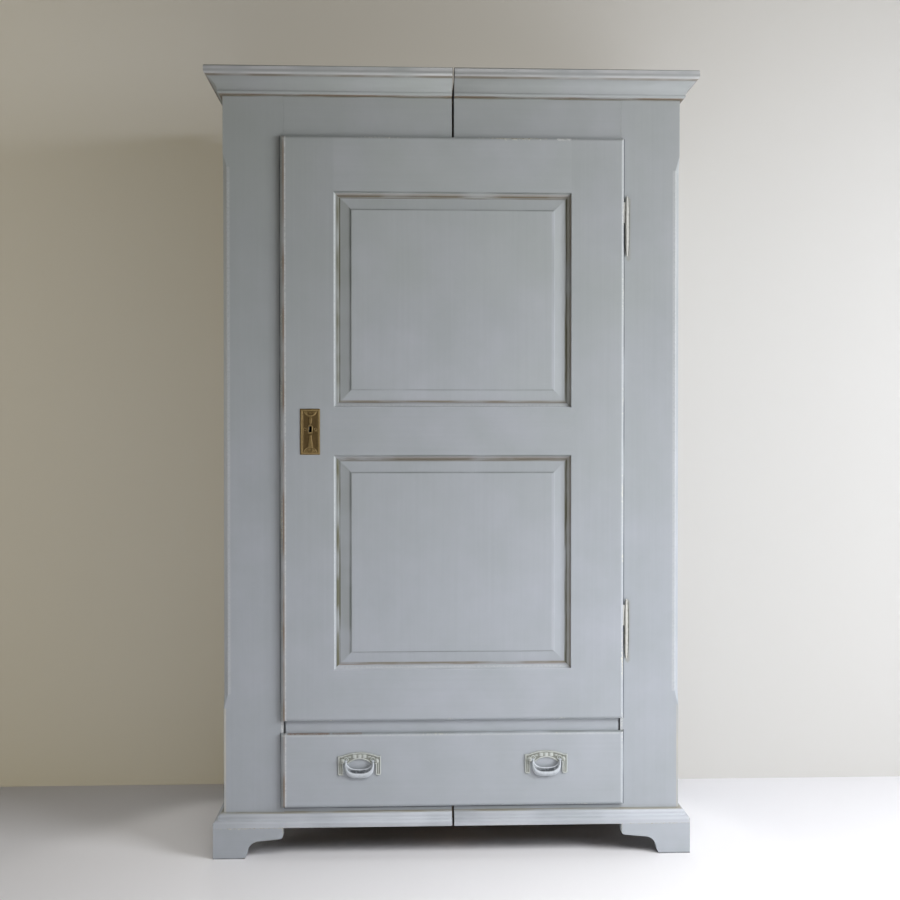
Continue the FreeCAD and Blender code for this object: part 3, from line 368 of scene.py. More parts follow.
# On the cornice the nose is made paler, paint and partly a painted highlight; the grey band across the nose
# is painted shade of a groove that is not modelled; the line at the nose's foot is painted shadow with some
# wear.
cornice_lines = [wear_and_shade_line("Z", nose_foot + nose_half, 2.0, 0.55, NOSE_PAINT_AND_HIGHLIGHT, half=nose_half),
                 wear_and_shade_line("Z", nose_foot + nose_half - 2.0, 5.0, 0.4, GREY_SHADE_LINE),
                 wear_and_shade_line("Z", nose_foot, 3.2, 0.8, NOSE_LINE),
                 wear_and_shade_line("Z", cornice_high, 2.6, 0.6, OLIVE_LINE)] + under_bead
base_joint = [wear_and_shade_line("Z", base_high + 0.5, 2.6, 0.65, SEAM_AND_SHADE_BEIGE)]
# The base moulding is made paler all over: paint, and partly painted light falling on it from above.
base_lines = [wear_and_shade_line("Z", base_middle, 2.0, 0.75, PALE_PAINT_AND_HIGHLIGHT, half=base_half)] + base_joint
# Painted shadow on the bottom rail under the drawer's lip.
under_drawer_shadow = [wear_and_shade_line("Z", corners("drawer_front")[0][2] - 1.5, 3.6, 0.8, LIP_SHADOW)]
# Painted contact shadow along the foot of the brackets, where they meet the floor.
foot_lines = [wear_and_shade_line("Z", 0.0, 4.0, 0.85, FOOT_CONTACT_SHADOW)]
stile_lines = under_bead + base_joint
# Painted shadow on the stiles beside the lips of the door and the drawer, which stand proud.
for front in (corners("door_lock_stile", "door_hinge_stile"), corners("drawer_front")):
    run = ("Z", front[0][2], front[1][2])
    for edge in (front[0][0] - 0.8, front[1][0] + 0.8):
        stile_lines.append(wear_and_shade_line("X", edge, 2.8, 0.8, LIP_SHADOW, half=0.4, run=run))
# Painted shadow on the stile beside each hinge.
for level in HINGE_LEVELS:
    stile_lines.append(wear_and_shade_line("X", HINGE_X + 4.0, 8.0, 0.5, HINGE_SHADOW, run=("Z", level - 80.0, level + 66.0)))
rail_run = ("Z", rail_low[2], rail_high[2])
for sign in (-1, 1):
    stile_lines += [
        wear_and_shade_line("X", sign * (body_x - 12.0), 4.0, 0.25, CHALK_AND_HIGHLIGHT_LINE, half=2.0, run=("Z", *CHAMFER)),
        wear_and_shade_line("X", sign * (body_x - 3.0), 2.2, 0.7, EDGE_BEIGE, half=0.8, run=("Z", base_high, CHAMFER_STOP)),
        # painted shade in the gap between the stile and the mid rail
        wear_and_shade_line("X", sign * opening_x, 1.0, 1.0, GAP_SHADE, half=0.1, run=rail_run),
        wear_and_shade_line("X", sign * (abs(opening_x) + 4.0), 3.0, 0.6, CHALK_AND_HIGHLIGHT_LINE, half=1.0, run=rail_run),
    ]
CASE = {
    "front_stile": ("Z", stile_lines),
    "top_rail": ("X", under_bead + split),
    "bottom_rail": ("X", base_joint + under_drawer_shadow + split),
    "side_board": ("Z", under_bead + base_joint),
    "cornice_front": ("X", cornice_lines + split),
    "cornice_side": ("Y", cornice_lines),
    "base_moulding_front": ("X", base_lines + split),
    "base_moulding_side": ("Y", base_lines),
    "foot_bracket_front": ("X", foot_lines),
    "foot_bracket_side": ("Y", foot_lines),
    "foot_bracket_rear": ("Y", foot_lines),
}
# Painted light and shade: a few boards are made a little lighter or darker, for how the light falls on them,
# such as the darker left stile and the lighter right foot.
BOARD_PAINTED_LIGHT = {
    "front_stile_left": 0.98, "front_stile_right": 0.99, "top_rail_right": 0.97,
    "foot_bracket_front_right": 1.08, "door_top_rail": 1.06, "door_panel_upper": 1.06, "drawer_front": 1.02,
}


def paint(name, box, grain, seed, rub, lines, usual_painted_light=1.0):
    """Gives one board its chalk paint, worn along the arrises of a box."""
    light = BOARD_PAINTED_LIGHT.get(name, usual_painted_light)
    dress(nodes[name], painted_wood("chalk_paint_" + name, box, grain, seed, rub, lines, light))


painted = 0
for kind, (grain, lines) in CASE.items():
    for side in ("left", "right"):
        name = kind + "_" + side
        painted += 1
        paint(name, corners(name), grain, painted, 0.9 if kind in ("front_stile", "top_rail") else 2.2, lines)
        soften(nodes[name], 0.8)
# Painted shade in the gaps at both ends of the mid rail.
rail_ends = [wear_and_shade_line("X", x, 1.5, 1.0, GAP_SHADE) for x in (rail_low[0], rail_high[0])]
paint("mid_rail", (rail_low, rail_high), "X", MID_RAIL_SEED, 1.6, rail_ends)
soften(nodes["mid_rail"], 1.0)
print(painted + 1, "boards of the case are painted")

# %% Dress the door and the drawer
RECESSES = {"upper": (288.0, 1087.75, 1606.5), "lower": (288.0, 452.0, 970.75)}  # half width, foot and head
# Each line is how far it lies inside the recess's edge, its width, strength and colour.
# Wear and painted light and shade mix here. The chalky line on the left, which faces the light, and the pale
# line on the lower arris are painted light. The grey line on the upper arris and the beige and olive lines on
# the right, which turns from the light, are painted shade. The dark lines in the left and upper hollows are
# dirt and shade; the brown lines and the chalky line below are wear.
STICKING_WEAR_AND_SHADE = {
    "left": [(1.5, 2.8, 0.3, CHALK_AND_HIGHLIGHT_LINE), (9.0, 5.6, 0.95, OLIVE_LINE)],
    "up": [(0.5, 3.0, 0.6, GREY_SHADE_LINE), (4.5, 2.4, 0.4, BROWN_LINE), (9.0, 4.0, 0.9, HOLLOW_LINE)],
    "right": [(2.0, 2.4, 0.5, BROWN_LINE), (6.0, 6.5, 0.45, SEAM_AND_SHADE_BEIGE), (11.0, 3.0, 0.9, OLIVE_LINE)],
    "down": [(0.5, 2.6, 0.6, PALE_PAINT_AND_HIGHLIGHT), (4.5, 4.0, 0.3, CHALK_AND_HIGHLIGHT_LINE), (11.5, 2.6, 0.55, BROWN_LINE)],
}
# In the same way, the broad grey band on the left is painted shade on the bevel that faces from the light,
# the grey lines are painted shade by the field's step, the olive line on the right is painted shade in its
# groove, and the pale line on the right is a painted highlight on the field's arris. The olive line on the
# left and the dark line above are dirt and shade, and the drab line below is wear.
PANEL_WEAR_AND_SHADE = {
    "left": [(28.0, 22.0, 0.3, BEVEL_SHADE), (13.0, 4.0, 0.85, OLIVE_LINE), (39.5, 5.0, 0.6, GREY_SHADE_LINE)],
    "up": [(12.5, 2.8, 0.7, HOLLOW_LINE), (41.5, 2.8, 0.5, GREY_SHADE_LINE)],
    "right": [(12.5, 4.0, 0.9, OLIVE_LINE), (43.5, 6.0, 0.4, PALE_PAINT_AND_HIGHLIGHT)],
    "down": [(14.0, 3.8, 0.75, DRAB_LINE), (42.0, 2.0, 0.3, GREY_SHADE_LINE)],
}
BOARD_SIDES = {
    "door_lock_stile": [("upper", "left"), ("lower", "left")],
    "door_hinge_stile": [("upper", "right"), ("lower", "right")],
    "door_top_rail": [("upper", "up")],
    "door_lock_rail": [("upper", "down"), ("lower", "up")],
    "door_bottom_rail": [("lower", "down")],
}
door_low, door_high = corners(*BOARD_SIDES)


def side_lines(place, side, facts):
    """The wear and the painted light and shade of one side of a recess, as lines for the paint."""
    return [(side_distance, (RECESSES[place], side, inset), width, strength, colour)
            for inset, width, strength, colour in facts[side]]


# On the lips of the door and the drawer, the olive line on the left rounding, which turns from the light, is
# painted shade; the brown and the chalky lines beside it are wear; the pale line on the right rounding is
# chalk and partly a painted highlight.
lip_lines = [wear_and_shade_line("X", door_low[0] + 3.0, 4.0, 0.4, OLIVE_LINE),
             wear_and_shade_line("X", door_low[0] + 8.0, 3.4, 0.8, BROWN_LINE),
             wear_and_shade_line("X", door_low[0] + 12.0, 2.6, 0.5, CHALK_AND_HIGHLIGHT_LINE),
             wear_and_shade_line("X", door_high[0] - 4.0, 2.4, 0.2, CHALK_AND_HIGHLIGHT_LINE)]
# On the door's top edge the chalky lines are chips, and the grey spot is painted shade in a notch that is not
# modelled.
top_lines = [wear_and_shade_line("Z", door_high[2] - 3.0, 5.0, 0.8, CHALK_AND_HIGHLIGHT_LINE, half=0.5, run=("X", 255.0, 285.0)),
             wear_and_shade_line("Z", door_high[2] - 1.5, 2.6, 0.9, CHALK_AND_HIGHLIGHT_LINE, half=0.5, run=("X", 300.0, 425.0)),
             wear_and_shade_line("Z", door_high[2] - 1.0, 3.0, 0.9, GREY_SHADE_LINE, half=0.5, run=("X", 262.0, 274.0))]
for n, (name, sides) in enumerate(BOARD_SIDES.items()):
    grain = "Z" if "stile" in name else "X"
    lines = [line for place, side in sides for line in side_lines(place, side, STICKING_WEAR_AND_SHADE)]
    lines += lip_lines if "stile" in name else top_lines
    paint(name, (door_low, door_high), grain, DOOR_SEED + n, 4.0, lines, usual_painted_light=1.01)
for n, place in enumerate(RECESSES):
    name = "door_panel_" + place
    lines = [line for side in PANEL_WEAR_AND_SHADE for line in side_lines(place, side, PANEL_WEAR_AND_SHADE)]
    paint(name, corners(name), "Z", PANEL_SEED + n, 0.0, lines)
drawer_low, drawer_high = corners("drawer_front")
# On the drawer's top edge the grey line is painted shade along the rounded edge, which otherwise catches the
# overhead light; the faint pale line and the rust-brown stretches are wear.
drawer_lines = lip_lines + [
    wear_and_shade_line("Z", drawer_high[2] - 5.0, 2.6, 0.2, CHALK_AND_HIGHLIGHT_LINE),
    wear_and_shade_line("Z", drawer_high[2] - 0.5, 3.4, 0.6, GREY_SHADE_LINE),
    wear_and_shade_line("Z", drawer_high[2] - 1.0, 3.0, 0.7, RUST_LINE, run=("X", -400.0, -300.0)),
    wear_and_shade_line("Z", drawer_high[2] - 1.0, 2.6, 0.4, RUST_LINE, run=("X", -292.0, -222.0))]
paint("drawer_front", (drawer_low, drawer_high), "X", DRAWER_SEED, 2.6, drawer_lines)
print("door of", len(BOARD_SIDES), "boards and 2 panels, and the drawer's front")

# %% [markdown]
# ## Bare pine
#
# The boards that nobody sees were never painted. Old softwood goes a dull orange-brown, with darker
# latewood lines a few millimetres apart that wander slowly along the board. The back boards and the joining
# cleats touch each other inside one node, where a Bevel would tear, so their arrises stay sharp.

# %% Bare pine
PINE = "#8E7355"
PINE_DARK = "#745B41"
PINE_DUST = "#7C7060"
UNDER_SHADE_PINE = "#4F4130"   # close to the floor, made darker so that the shade under the cupboard stays deep: painted shade
UNDER_SHADE_PINE_DARK = "#3C3024"
RING_WIDTH = 5.0         # mm between growth rings
FIBRE_WIDTH = 1.2
DUST_PATCH = 120
STRETCH = 25             # how much longer the pattern is along the grain


def bare_pine(name, grain, seed, early, late):
    """Unpainted old pine: stretched growth rings, fine fibre, and grey dust in patches."""
    material, tree = new_finish(name)
    moved = shifted_by(tree, place_in_mm(tree), seed)
    along = along_grain(tree, moved, grain, STRETCH, 1)
    rings = add(tree, "TexNoise", {"Vector": along, "Scale": 1 / RING_WIDTH, "Detail": 3.0})
    fibre = add(tree, "TexNoise", {"Vector": along, "Scale": 1 / FIBRE_WIDTH, "Detail": 2.0})
    dust = add(tree, "TexNoise", {"Vector": moved, "Scale": 1 / DUST_PATCH, "Detail": 3.0})
    ring = add(tree, "MapRange", {"Value": rings, "From Min": 0.45, "From Max": 0.62})
    dusty = add(tree, "MapRange", {"Value": dust, "From Min": 0.45, "From Max": 0.8, "To Max": 0.6})
    tone = glaze(tree, linear(early), [(ring, late), (dusty, PINE_DUST)])
    height = add(tree, "Math", {0: fibre, 1: 0.15}, operation="MULTIPLY")
    bump = add(tree, "Bump", {"Height": height, "Distance": MM, "Strength": 0.8})
    shader = add(tree, "BsdfPrincipled", {"Base Color": tone, "Normal": bump, "Roughness": 0.75})
    add(tree, "OutputMaterial", {"Surface": shader})
    return material


def longest_axis(name):
    """The axis along which a solid is longest, which is the way its grain runs."""
    low, high = corners(name)
    sizes = [end - start for start, end in zip(low, high)]
    return "XYZ"[sizes.index(max(sizes))]


BARE = ("top_board", "bottom_board", "back_boards", "foot_blocks", "cupboard_floor", "shelf_",
        "drawer_guides", "joining_cleats", "drawer_side", "drawer_back", "drawer_bottom")
bare = sorted(name for name in nodes if name.startswith(BARE))
for n, name in enumerate(bare):
    grain = "Y" if name in ("joining_cleats", "shelf_cleats") else longest_axis(name)
    # Boards close to the floor get the darker pine, which keeps the shade under the cupboard deep.
    deepens_shade = name.startswith(("bottom_board", "foot_blocks"))
    colours = (UNDER_SHADE_PINE, UNDER_SHADE_PINE_DARK) if deepens_shade else (PINE, PINE_DARK)
    dress(nodes[name], bare_pine("bare_pine_" + name, grain, n + 1, *colours))
    if not name.startswith(("back_boards", "joining_cleats")):
        soften(nodes[name], 0.6)
print(len(bare), "bare boards and sets of boards")

# %% [markdown]
# ## Metals
#
# Three kinds of metal: stamped brass gone brown, with the high parts rubbed lighter; cast iron handles and
# hinges brushed over with cream-grey paint, which has gone from the grooves and arrises; and plain dark
# iron. All are one finish that goes from a dark to a light colour with the relief. The worked-out fittings
# carry their relief with them. The pins of the hinges are plain rods, so on them light and shade are
# painted: the faces that look to the front are made lighter and those that turn aside darker.

# %% Metals
SPOT_WIDTH = 6.0         # mm across an uneven spot
SKIN_HEIGHT = 0.08


def metal_finish(name, colours, roughness, metallic, relief=None):
    """
    A metal that is dark in its hollows and light on its high parts, with a fine uneven skin. The relief is
    the piece's own where none is given, one number for the whole piece, or "front", which paints light and
    shade by facing: lighter where the surface looks to the front, darker where it turns aside.
    """
    material, tree = new_finish(name)
    point = place_in_mm(tree)
    spots = add(tree, "TexNoise", {"Vector": point, "Scale": 1 / SPOT_WIDTH, "Detail": 4.0, "Roughness": 0.6})
    if relief is None:
        relief = add(tree, "Attribute", attribute_name="relief").outputs["Fac"]
    # Painted light and shade on the hinge pins: a face that looks to the front is made lighter, one turned
    # aside darker.
    if relief == "front":
        across = add(tree, "SeparateXYZ", {"Vector": add(tree, "TexCoord").outputs["Normal"]}).outputs["X"]
        aside = add(tree, "Math", {0: across, 1: 0.2}, operation="ADD")
        away = add(tree, "Math", {0: aside}, operation="ABSOLUTE")
        relief = add(tree, "MapRange", {"Value": away, "From Min": 0.8, "From Max": 0.2}).outputs[0]
    uneven = add(tree, "MapRange", {"Value": spots, "From Min": 0.3, "From Max": 0.7, "To Min": -0.15,
                                    "To Max": 0.15})
    level = add(tree, "Math", {0: uneven, 1: relief}, operation="ADD")
    out_of_hollow = add(tree, "MapRange", {"Value": level, "From Min": 0.0, "From Max": 0.45})
    on_top = add(tree, "MapRange", {"Value": level, "From Min": 0.45, "From Max": 0.95})
    hollow, ground, high = colours
    tone = glaze(tree, linear(hollow), [(out_of_hollow, ground), (on_top, high)])
    height = add(tree, "Math", {0: spots, 1: SKIN_HEIGHT}, operation="MULTIPLY")
    bump = add(tree, "Bump", {"Height": height, "Distance": MM, "Strength": 0.8})
    dull = add(tree, "MapRange", {"Value": spots, "To Min": roughness - 0.1, "To Max": roughness + 0.1})
    shader = add(tree, "BsdfPrincipled", {"Base Color": tone, "Normal": bump, "Roughness": dull,
                                          "Metallic": metallic})
    add(tree, "OutputMaterial", {"Surface": shader})
    return material


aged_brass = metal_finish("aged_brass", ("#6A5633", "#836E45", "#A48E60"), 0.45, 0.6)
plain_brass = metal_finish("aged_brass_pins", ("#65522F", "#7E6940", "#9C8557"), 0.45, 0.6, relief=0.5)
plate_iron = metal_finish("painted_iron_plate", ("#8A8D85", "#A7ABA5", "#C3C7C4"), 0.5, 0.0)
drop_iron = metal_finish("painted_iron_drop", ("#464B50", "#B0B6BC", "#D0D6DC"), 0.45, 0.0)
hinge_iron_lit_front = metal_finish("painted_iron_hinge", ("#54544C", "#B0B1AB", "#E0E0DA"), 0.5, 0.0, relief="front")
dark_iron = metal_finish("dark_iron", ("#242220", "#393532", "#4A4541"), 0.55, 0.8, relief=0.5)
for name in ("joining_bolts", "handle_bolts", "lock_case", "lock_bolt"):
    dress(nodes[name], dark_iron)
for name in ("escutcheon", "escutcheon_pins"):
    dress(nodes[name], plain_brass)
for name in nodes:
    if name.startswith(("hinge_", "handle_plate", "handle_bail")):
        dress(nodes[name], hinge_iron_lit_front)
print("metals are ready")

# %% [markdown]
# ## Relief surfaces
#
# The fittings were cast or stamped, so nothing on them is flat. Sculpting them would work, but each one is
# easy to say in numbers: a grid of points laid between two outlines, with a height worked out for every
# point at once. A grid becomes a closed skin when its last row is joined to its first. The height is kept
# as an attribute, so that the finish can be dark in the hollows and rubbed on the high parts.


# %% Grids and pieces
JOIN_WITHIN = 5e-6       # m, under which two corners of a piece are one


def patch(points, relief=0.5, wrap_rows=False, wrap_columns=False):
    """Corners, faces and relief of a grid of points; a wrapped side joins its end to its start."""
    rows, columns = points.shape[:2]
    index = np.arange(rows * columns).reshape(rows, columns)
    if wrap_rows:
        index = np.vstack([index, index[:1]])
    if wrap_columns:
        index = np.hstack([index, index[:, :1]])
    faces = np.stack([index[:-1, :-1], index[1:, :-1], index[1:, 1:], index[:-1, 1:]], axis=-1)
    relief = np.broadcast_to(relief, (rows, columns))
    return points.reshape(-1, 3), faces.reshape(-1, 4), relief.reshape(-1)


def make_piece(name, patches, material, body, slot, *stood_for):
    """One object from several closed patches, in mm; it rides on a body and stands for CAD nodes."""
    counts = np.cumsum([0] + [len(points) for points, _, _ in patches])
    faces = np.concatenate([f + c for (_, f, _), c in zip(patches, counts)])
    mesh = bpy.data.meshes.new(name)
    mesh.from_pydata(np.concatenate([p for p, _, _ in patches]) * MM, [], faces.tolist())
    layer = mesh.attributes.new("relief", "FLOAT", "POINT")
    layer.data.foreach_set("value", np.concatenate([r for _, _, r in patches]).astype(np.float32))
    work = bmesh.new()
    work.from_mesh(mesh)
    bmesh.ops.remove_doubles(work, verts=work.verts, dist=JOIN_WITHIN)
    bmesh.ops.recalc_face_normals(work, faces=work.faces)
    work.to_mesh(mesh)
    work.free()
    mesh.shade_smooth()
    mesh.set_sharp_from_angle(angle=math.radians(50))
    mesh.materials.append(material)
    piece = bpy.data.objects.new(name, mesh)
    bpy.context.scene.collection.objects.link(piece)
    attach(piece, body)
    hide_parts(*stood_for)
    print(name, "has", len(mesh.polygons), "faces")


def plate_skin(x, z, relief, shown, sheet, face_y, wrap_columns=False):
    """A plate's closed skin: the relief in front of a sheet of even thickness, and a flat back at face_y."""
    back = np.full((2, x.shape[1]), face_y)
    rows_x, rows_z = (np.vstack([grid, grid[-1:], grid[:1]]) for grid in (x, z))
    points = np.stack([rows_x, np.vstack([face_y - sheet - relief, back]), rows_z], axis=-1)
    return patch(points, np.vstack([shown, 0 * back]), wrap_rows=True, wrap_columns=wrap_columns)


def lathe(profile, sides, centre, axis, sign, relief=0.5):
    """A turned form: each (reach, radius) of the profile is a circle round one axis through the centre."""
    turn = np.linspace(0, 2 * math.pi, sides, endpoint=False)
    reach, radius = np.hsplit(np.array(profile, float), 2)
    parts = [radius * np.cos(turn), radius * np.sin(turn)]
    parts.insert(axis, sign * reach + 0 * turn)
    return patch(np.stack(parts, axis=-1) + centre, relief, wrap_columns=True)


def dome(distance, half_width):
    """1 on a line, falling in a quarter circle to 0 at half_width from it."""
    return np.sqrt(np.clip(1 - (distance / half_width) ** 2, 0, 1))


def step(value, width):
    """0 below 0 and 1 above width, with a smooth rise between."""
    share = np.clip(value / width, 0, 1)
    return share * share * (3 - 2 * share)


def circle_line(x, z, centre_x, centre_z, radius):
    """Distance from the line of a circle."""
    return np.abs(np.hypot(x - centre_x, z - centre_z) - radius)


print("grids are ready")

# %% [markdown]
# ## The stamped key plate
#
# The plate is thin sheet brass, pressed over a die: a round rim, a garland that hangs between two
# rosettes, a drop, a collar round the keyhole with a scroll at each side, a bell-shaped stem and a shell
# at the foot. The keyhole is a real hole. That asks for a grid in rings: each spoke runs from the edge of
# the hole to the edge of the plate, and comes back behind it.

# %% The key plate's shape
plate_low, plate_high = corners("escutcheon")
PLATE_HALF = (plate_high[0] - plate_low[0]) / 2
PLATE_TALL = (plate_high[2] - plate_low[2]) / 2
PLATE_X = (plate_low[0] + plate_high[0]) / 2
PLATE_Z = (plate_low[2] + plate_high[2]) / 2
SHEET = 1.0              # mm of brass
KEY_RISE = 9.5           # mm from the plate's middle up to the key's axis
KEY_ROUND = 3.5          # radius of the round part of the hole
KEY_NECK, KEY_FOOT, KEY_DROP = 2.6, 3.9, 10.0  # half width of the slot at its top and foot, and its depth
SPOKE_CENTRE = KEY_RISE - 3.0


def way_out(turn, lines):
    """
    Length of each spoke until it meets the first of several lines. A line is its normal and its distance,
    and the length is the distance over the spoke's share of the normal, endless where that is nothing.
    """
    speeds = [np.cos(turn) * normal_x + np.sin(turn) * normal_z for normal_x, normal_z, _ in lines]
    return np.minimum.reduce([np.where(speed > 1e-9, distance / np.maximum(speed, 1e-9), 1e9)
                              for speed, (_, _, distance) in zip(speeds, lines)])


def keyhole_reach(turn):
    """Length of each spoke inside the keyhole: the longer of its way out of the round and of the slot."""
    up = KEY_RISE - SPOKE_CENTRE
    rise = np.sin(turn) * up
    in_round = rise + np.sqrt(rise ** 2 + KEY_ROUND ** 2 - up ** 2)
    lean = (KEY_FOOT - KEY_NECK) / KEY_DROP
    side = np.hypot(1, lean)
    flank = (KEY_NECK + lean * up) / side
    in_slot = way_out(turn, [(1 / side, lean / side, flank), (-1 / side, lean / side, flank),
                             (0, -1, KEY_DROP - up), (0, 1, up)])
    return np.maximum(in_round, in_slot)


def plate_reach(turn):
    """Length of each spoke to the plate's edge."""
    return way_out(turn, [(1, 0, PLATE_HALF), (-1, 0, PLATE_HALF),
                          (0, 1, PLATE_TALL - SPOKE_CENTRE), (0, -1, PLATE_TALL + SPOKE_CENTRE)])


def plate_relief(x, z):
    """Height in mm above the thin sheet: the highest of the stamped forms, placed from the middle."""
    edge = np.minimum(PLATE_HALF - np.abs(x), PLATE_TALL - np.abs(z))
    side = np.abs(x)
    rim = 1.1 * dome(edge - 3.4, 2.3)
    bead = 0.35 * dome(edge - 7.2, 0.8)
    garland = 1.0 * dome(circle_line(x, z, 0, 53.5, 15.0), 2.2) * step(50.0 - z, 2.0)
    rosettes = 0.9 * dome(np.hypot(side - 10.0, z - 46.5), 4.2)
    rosettes *= 0.75 + 0.25 * np.cos(6 * np.arctan2(z - 46.5, side - 10.0))
    drop = 0.8 * dome(np.hypot(x / 4.2, (z - 27.0) / 10.5), 1.0)
    spoke_turn = np.arctan2(z - SPOKE_CENTRE, x)
    from_hole = np.hypot(x, z - SPOKE_CENTRE) - keyhole_reach(spoke_turn)
    collar = 1.1 * dome(from_hole - 1.9, 1.9)
    scrolls = 0.8 * dome(circle_line(side, z, 13.0, 6.0, 3.2), 1.3)
    bell = 3.2 + 3.6 * step(-8.0 - z, 28.0)
    stem = 0.9 * dome(side, bell) * step(-6.0 - z, 4.0) * step(z + 41.0, 4.0)
    fan_turn = np.arctan2(z + 54.0, x)
    from_foot = np.hypot(x, z + 54.0)
    shell = (0.5 + 0.5 * np.abs(np.cos(3.5 * fan_turn))) * step(15.0 - from_foot, 2.0) * step(from_foot, 9.0)
    shell = np.maximum(shell, 1.0 * dome(from_foot - 16.2, 1.5))
    forms = [rim, bead, garland, rosettes, drop, collar, scrolls, stem, shell * step(edge - 4.5, 1.5)]
    return 1.2 * np.maximum.reduce(forms)


# %% The key plate
def key_plate():
    """Spokes by rings: point = hole's edge + share * (plate's edge - hole's edge), then back behind."""
    rim_x, rim_z = PLATE_HALF * np.linspace(-1, 1, 53), PLATE_TALL * np.linspace(-1, 1, 121)
    aims = [(rim_x, -PLATE_TALL), (rim_x, PLATE_TALL), (-PLATE_HALF, rim_z), (PLATE_HALF, rim_z),
            (np.array([-KEY_FOOT, KEY_FOOT]), KEY_RISE - KEY_DROP)]
    turn = np.concatenate([np.arctan2(z - SPOKE_CENTRE, x) for x, z in aims])
    turn = np.unique(np.round(turn, 6))
    inner, outer = keyhole_reach(turn), plate_reach(turn)
    share = np.linspace(0, 1, 90)[:, None]
    reach = inner + share * (outer - inner)
    x, z = reach * np.cos(turn), SPOKE_CENTRE + reach * np.sin(turn)
    relief = plate_relief(x, z)
    shown = relief * step(reach - inner, 1.6) / 1.6
    return plate_skin(PLATE_X + x, PLATE_Z + z, relief, shown, SHEET, plate_high[1], wrap_columns=True)


make_piece("key_plate", [key_plate()], aged_brass, "door", "brass", "escutcheon")

# %% [markdown]
# ## The drop handles
#
# A cast back plate, arched above and with a tab at each end, holds two turned posts. The drop hangs between
# them: two thin arms that widen into a deep grip, with a ridge between a hollow inner slope and a broad
# outer one. The plate is a strip bent into an upside-down U, so its grid runs along the strip, from one
# tab up over the arch and down the other, between an outer and an inner outline.

# %% Outlines of the back plate
# In mm across from the plate's middle and up from the axis of the drop.
HALF_WIDTH, TAB_FOOT, TAB_WIDE, TAB_ROUND = 52.0, -35.0, 13.0, 4.0
CROWN, SHOULDER, ARCH_HALF = 21.0, 12.0, 43.0
HOLLOW_HALF, HOLLOW_TOP, HOLLOW_LOW = 28.0, 4.0, -8.0


def spaced(points, count):
    """The same line with its points evenly spaced along its length."""
    points = np.asarray(points, float)
    run = np.concatenate([[0], np.cumsum(np.hypot(*np.diff(points, axis=0).T))])
    even = np.linspace(0, run[-1], count)
    return np.stack([np.interp(even, run, points[:, 0]), np.interp(even, run, points[:, 1])], axis=1)


def round_corner(centre_u, centre_v, radius, start, end):
    """Points of an arc, between two angles in degrees."""
    turn = np.radians(np.linspace(start, end, 9))
    return np.stack([centre_u + radius * np.cos(turn), centre_v + radius * np.sin(turn)], axis=1)


def bow(half, end_v, middle_v):
    """A flat arc from -half to half through its middle: v = middle - (R - sqrt(R^2 - u^2))."""
    rise = middle_v - end_v
    radius = (half ** 2 + rise ** 2) / (2 * rise)
    u = np.linspace(-half, half, 61)
    return np.stack([u, middle_v - radius + np.sqrt(radius ** 2 - u ** 2)], axis=1)


def outline(edge, corner_u, start, end, bend, arch):
    """One outline of the strip: from a tab's foot round its corner, up its edge, over the arch and down."""
    foot = [TAB_WIDE / 2 - HALF_WIDTH, TAB_FOOT]
    corner = round_corner(corner_u, TAB_FOOT + TAB_ROUND, TAB_ROUND, start, end)
    tab = np.vstack([[foot], corner, [[edge, HOLLOW_LOW]]])
    rise = [[edge, HOLLOW_LOW]] + bend
    half = np.vstack([spaced(tab, 41), spaced(rise, 31)[1:], spaced(arch, 121)[1:61]])
    return np.vstack([half, half[-2::-1] * np.array([-1, 1])])


INNER_U = TAB_WIDE - HALF_WIDTH
outer_line = outline(-HALF_WIDTH, TAB_ROUND - HALF_WIDTH, 270, 180,
                     [[-HALF_WIDTH, SHOULDER], [-ARCH_HALF, SHOULDER]], bow(ARCH_HALF, SHOULDER, CROWN))
inner_line = outline(INNER_U, INNER_U - TAB_ROUND, -90, 0,
                     [[-HOLLOW_HALF, HOLLOW_LOW]], bow(HOLLOW_HALF, HOLLOW_LOW, HOLLOW_TOP))
print("back plate outlines of", len(outer_line), "pairs of points")


# %% The back plate
def handle_relief(u, v):
    """Height in mm above the back plate's ground: rim, ribs under the crown, and a scroll at each end."""
    edges = np.vstack([spaced(outer_line, 1200), spaced(inner_line, 1200)])
    edge = np.hypot(u[..., None] - edges[:, 0], v[..., None] - edges[:, 1]).min(axis=-1)
    side = np.abs(u)
    rim = 1.3 * dome(edge - 1.7, 1.7)
    band = step(19.0 - side, 2.0) * step(v - 6.0, 1.5) * step(16.5 - v, 1.5)
    ribs = 1.5 * np.abs(np.cos(math.pi * u / 12.0)) * band
    scroll = 1.2 * dome(circle_line(side, v, 32.0, 3.5, 4.6), 1.5)
    eye = 1.3 * dome(np.hypot(side - 32.0, v - 3.5), 2.0)
    leaf = 1.1 * dome(np.hypot((side - 24.0) / 4.5, (v - 9.5) / 2.2), 1.0)
    tab_rib = 0.8 * dome(side - 45.5, 1.6) * step(2.0 - v, 3.0)
    return np.maximum.reduce([rim, ribs, scroll, eye, leaf, tab_rib])


# How far each ring of a post stands from the drawer, and its radius.
POST_PROFILE = [(0, 0), (0, 5.6), (2.6, 5.6), (3.4, 4.6), (4.0, 3.3), (5.4, 3.1), (6.4, 4.1), (8.4, 4.4),
                (10.2, 4.1), (11.1, 3.0), (11.5, 1.4), (11.5, 0)]
POST_WEAR = np.array(POST_PROFILE)[:, 1:] / 6.0
POST_U = 41.0            # mm from the middle to a post
GROUND = 1.9             # mm of iron under the relief


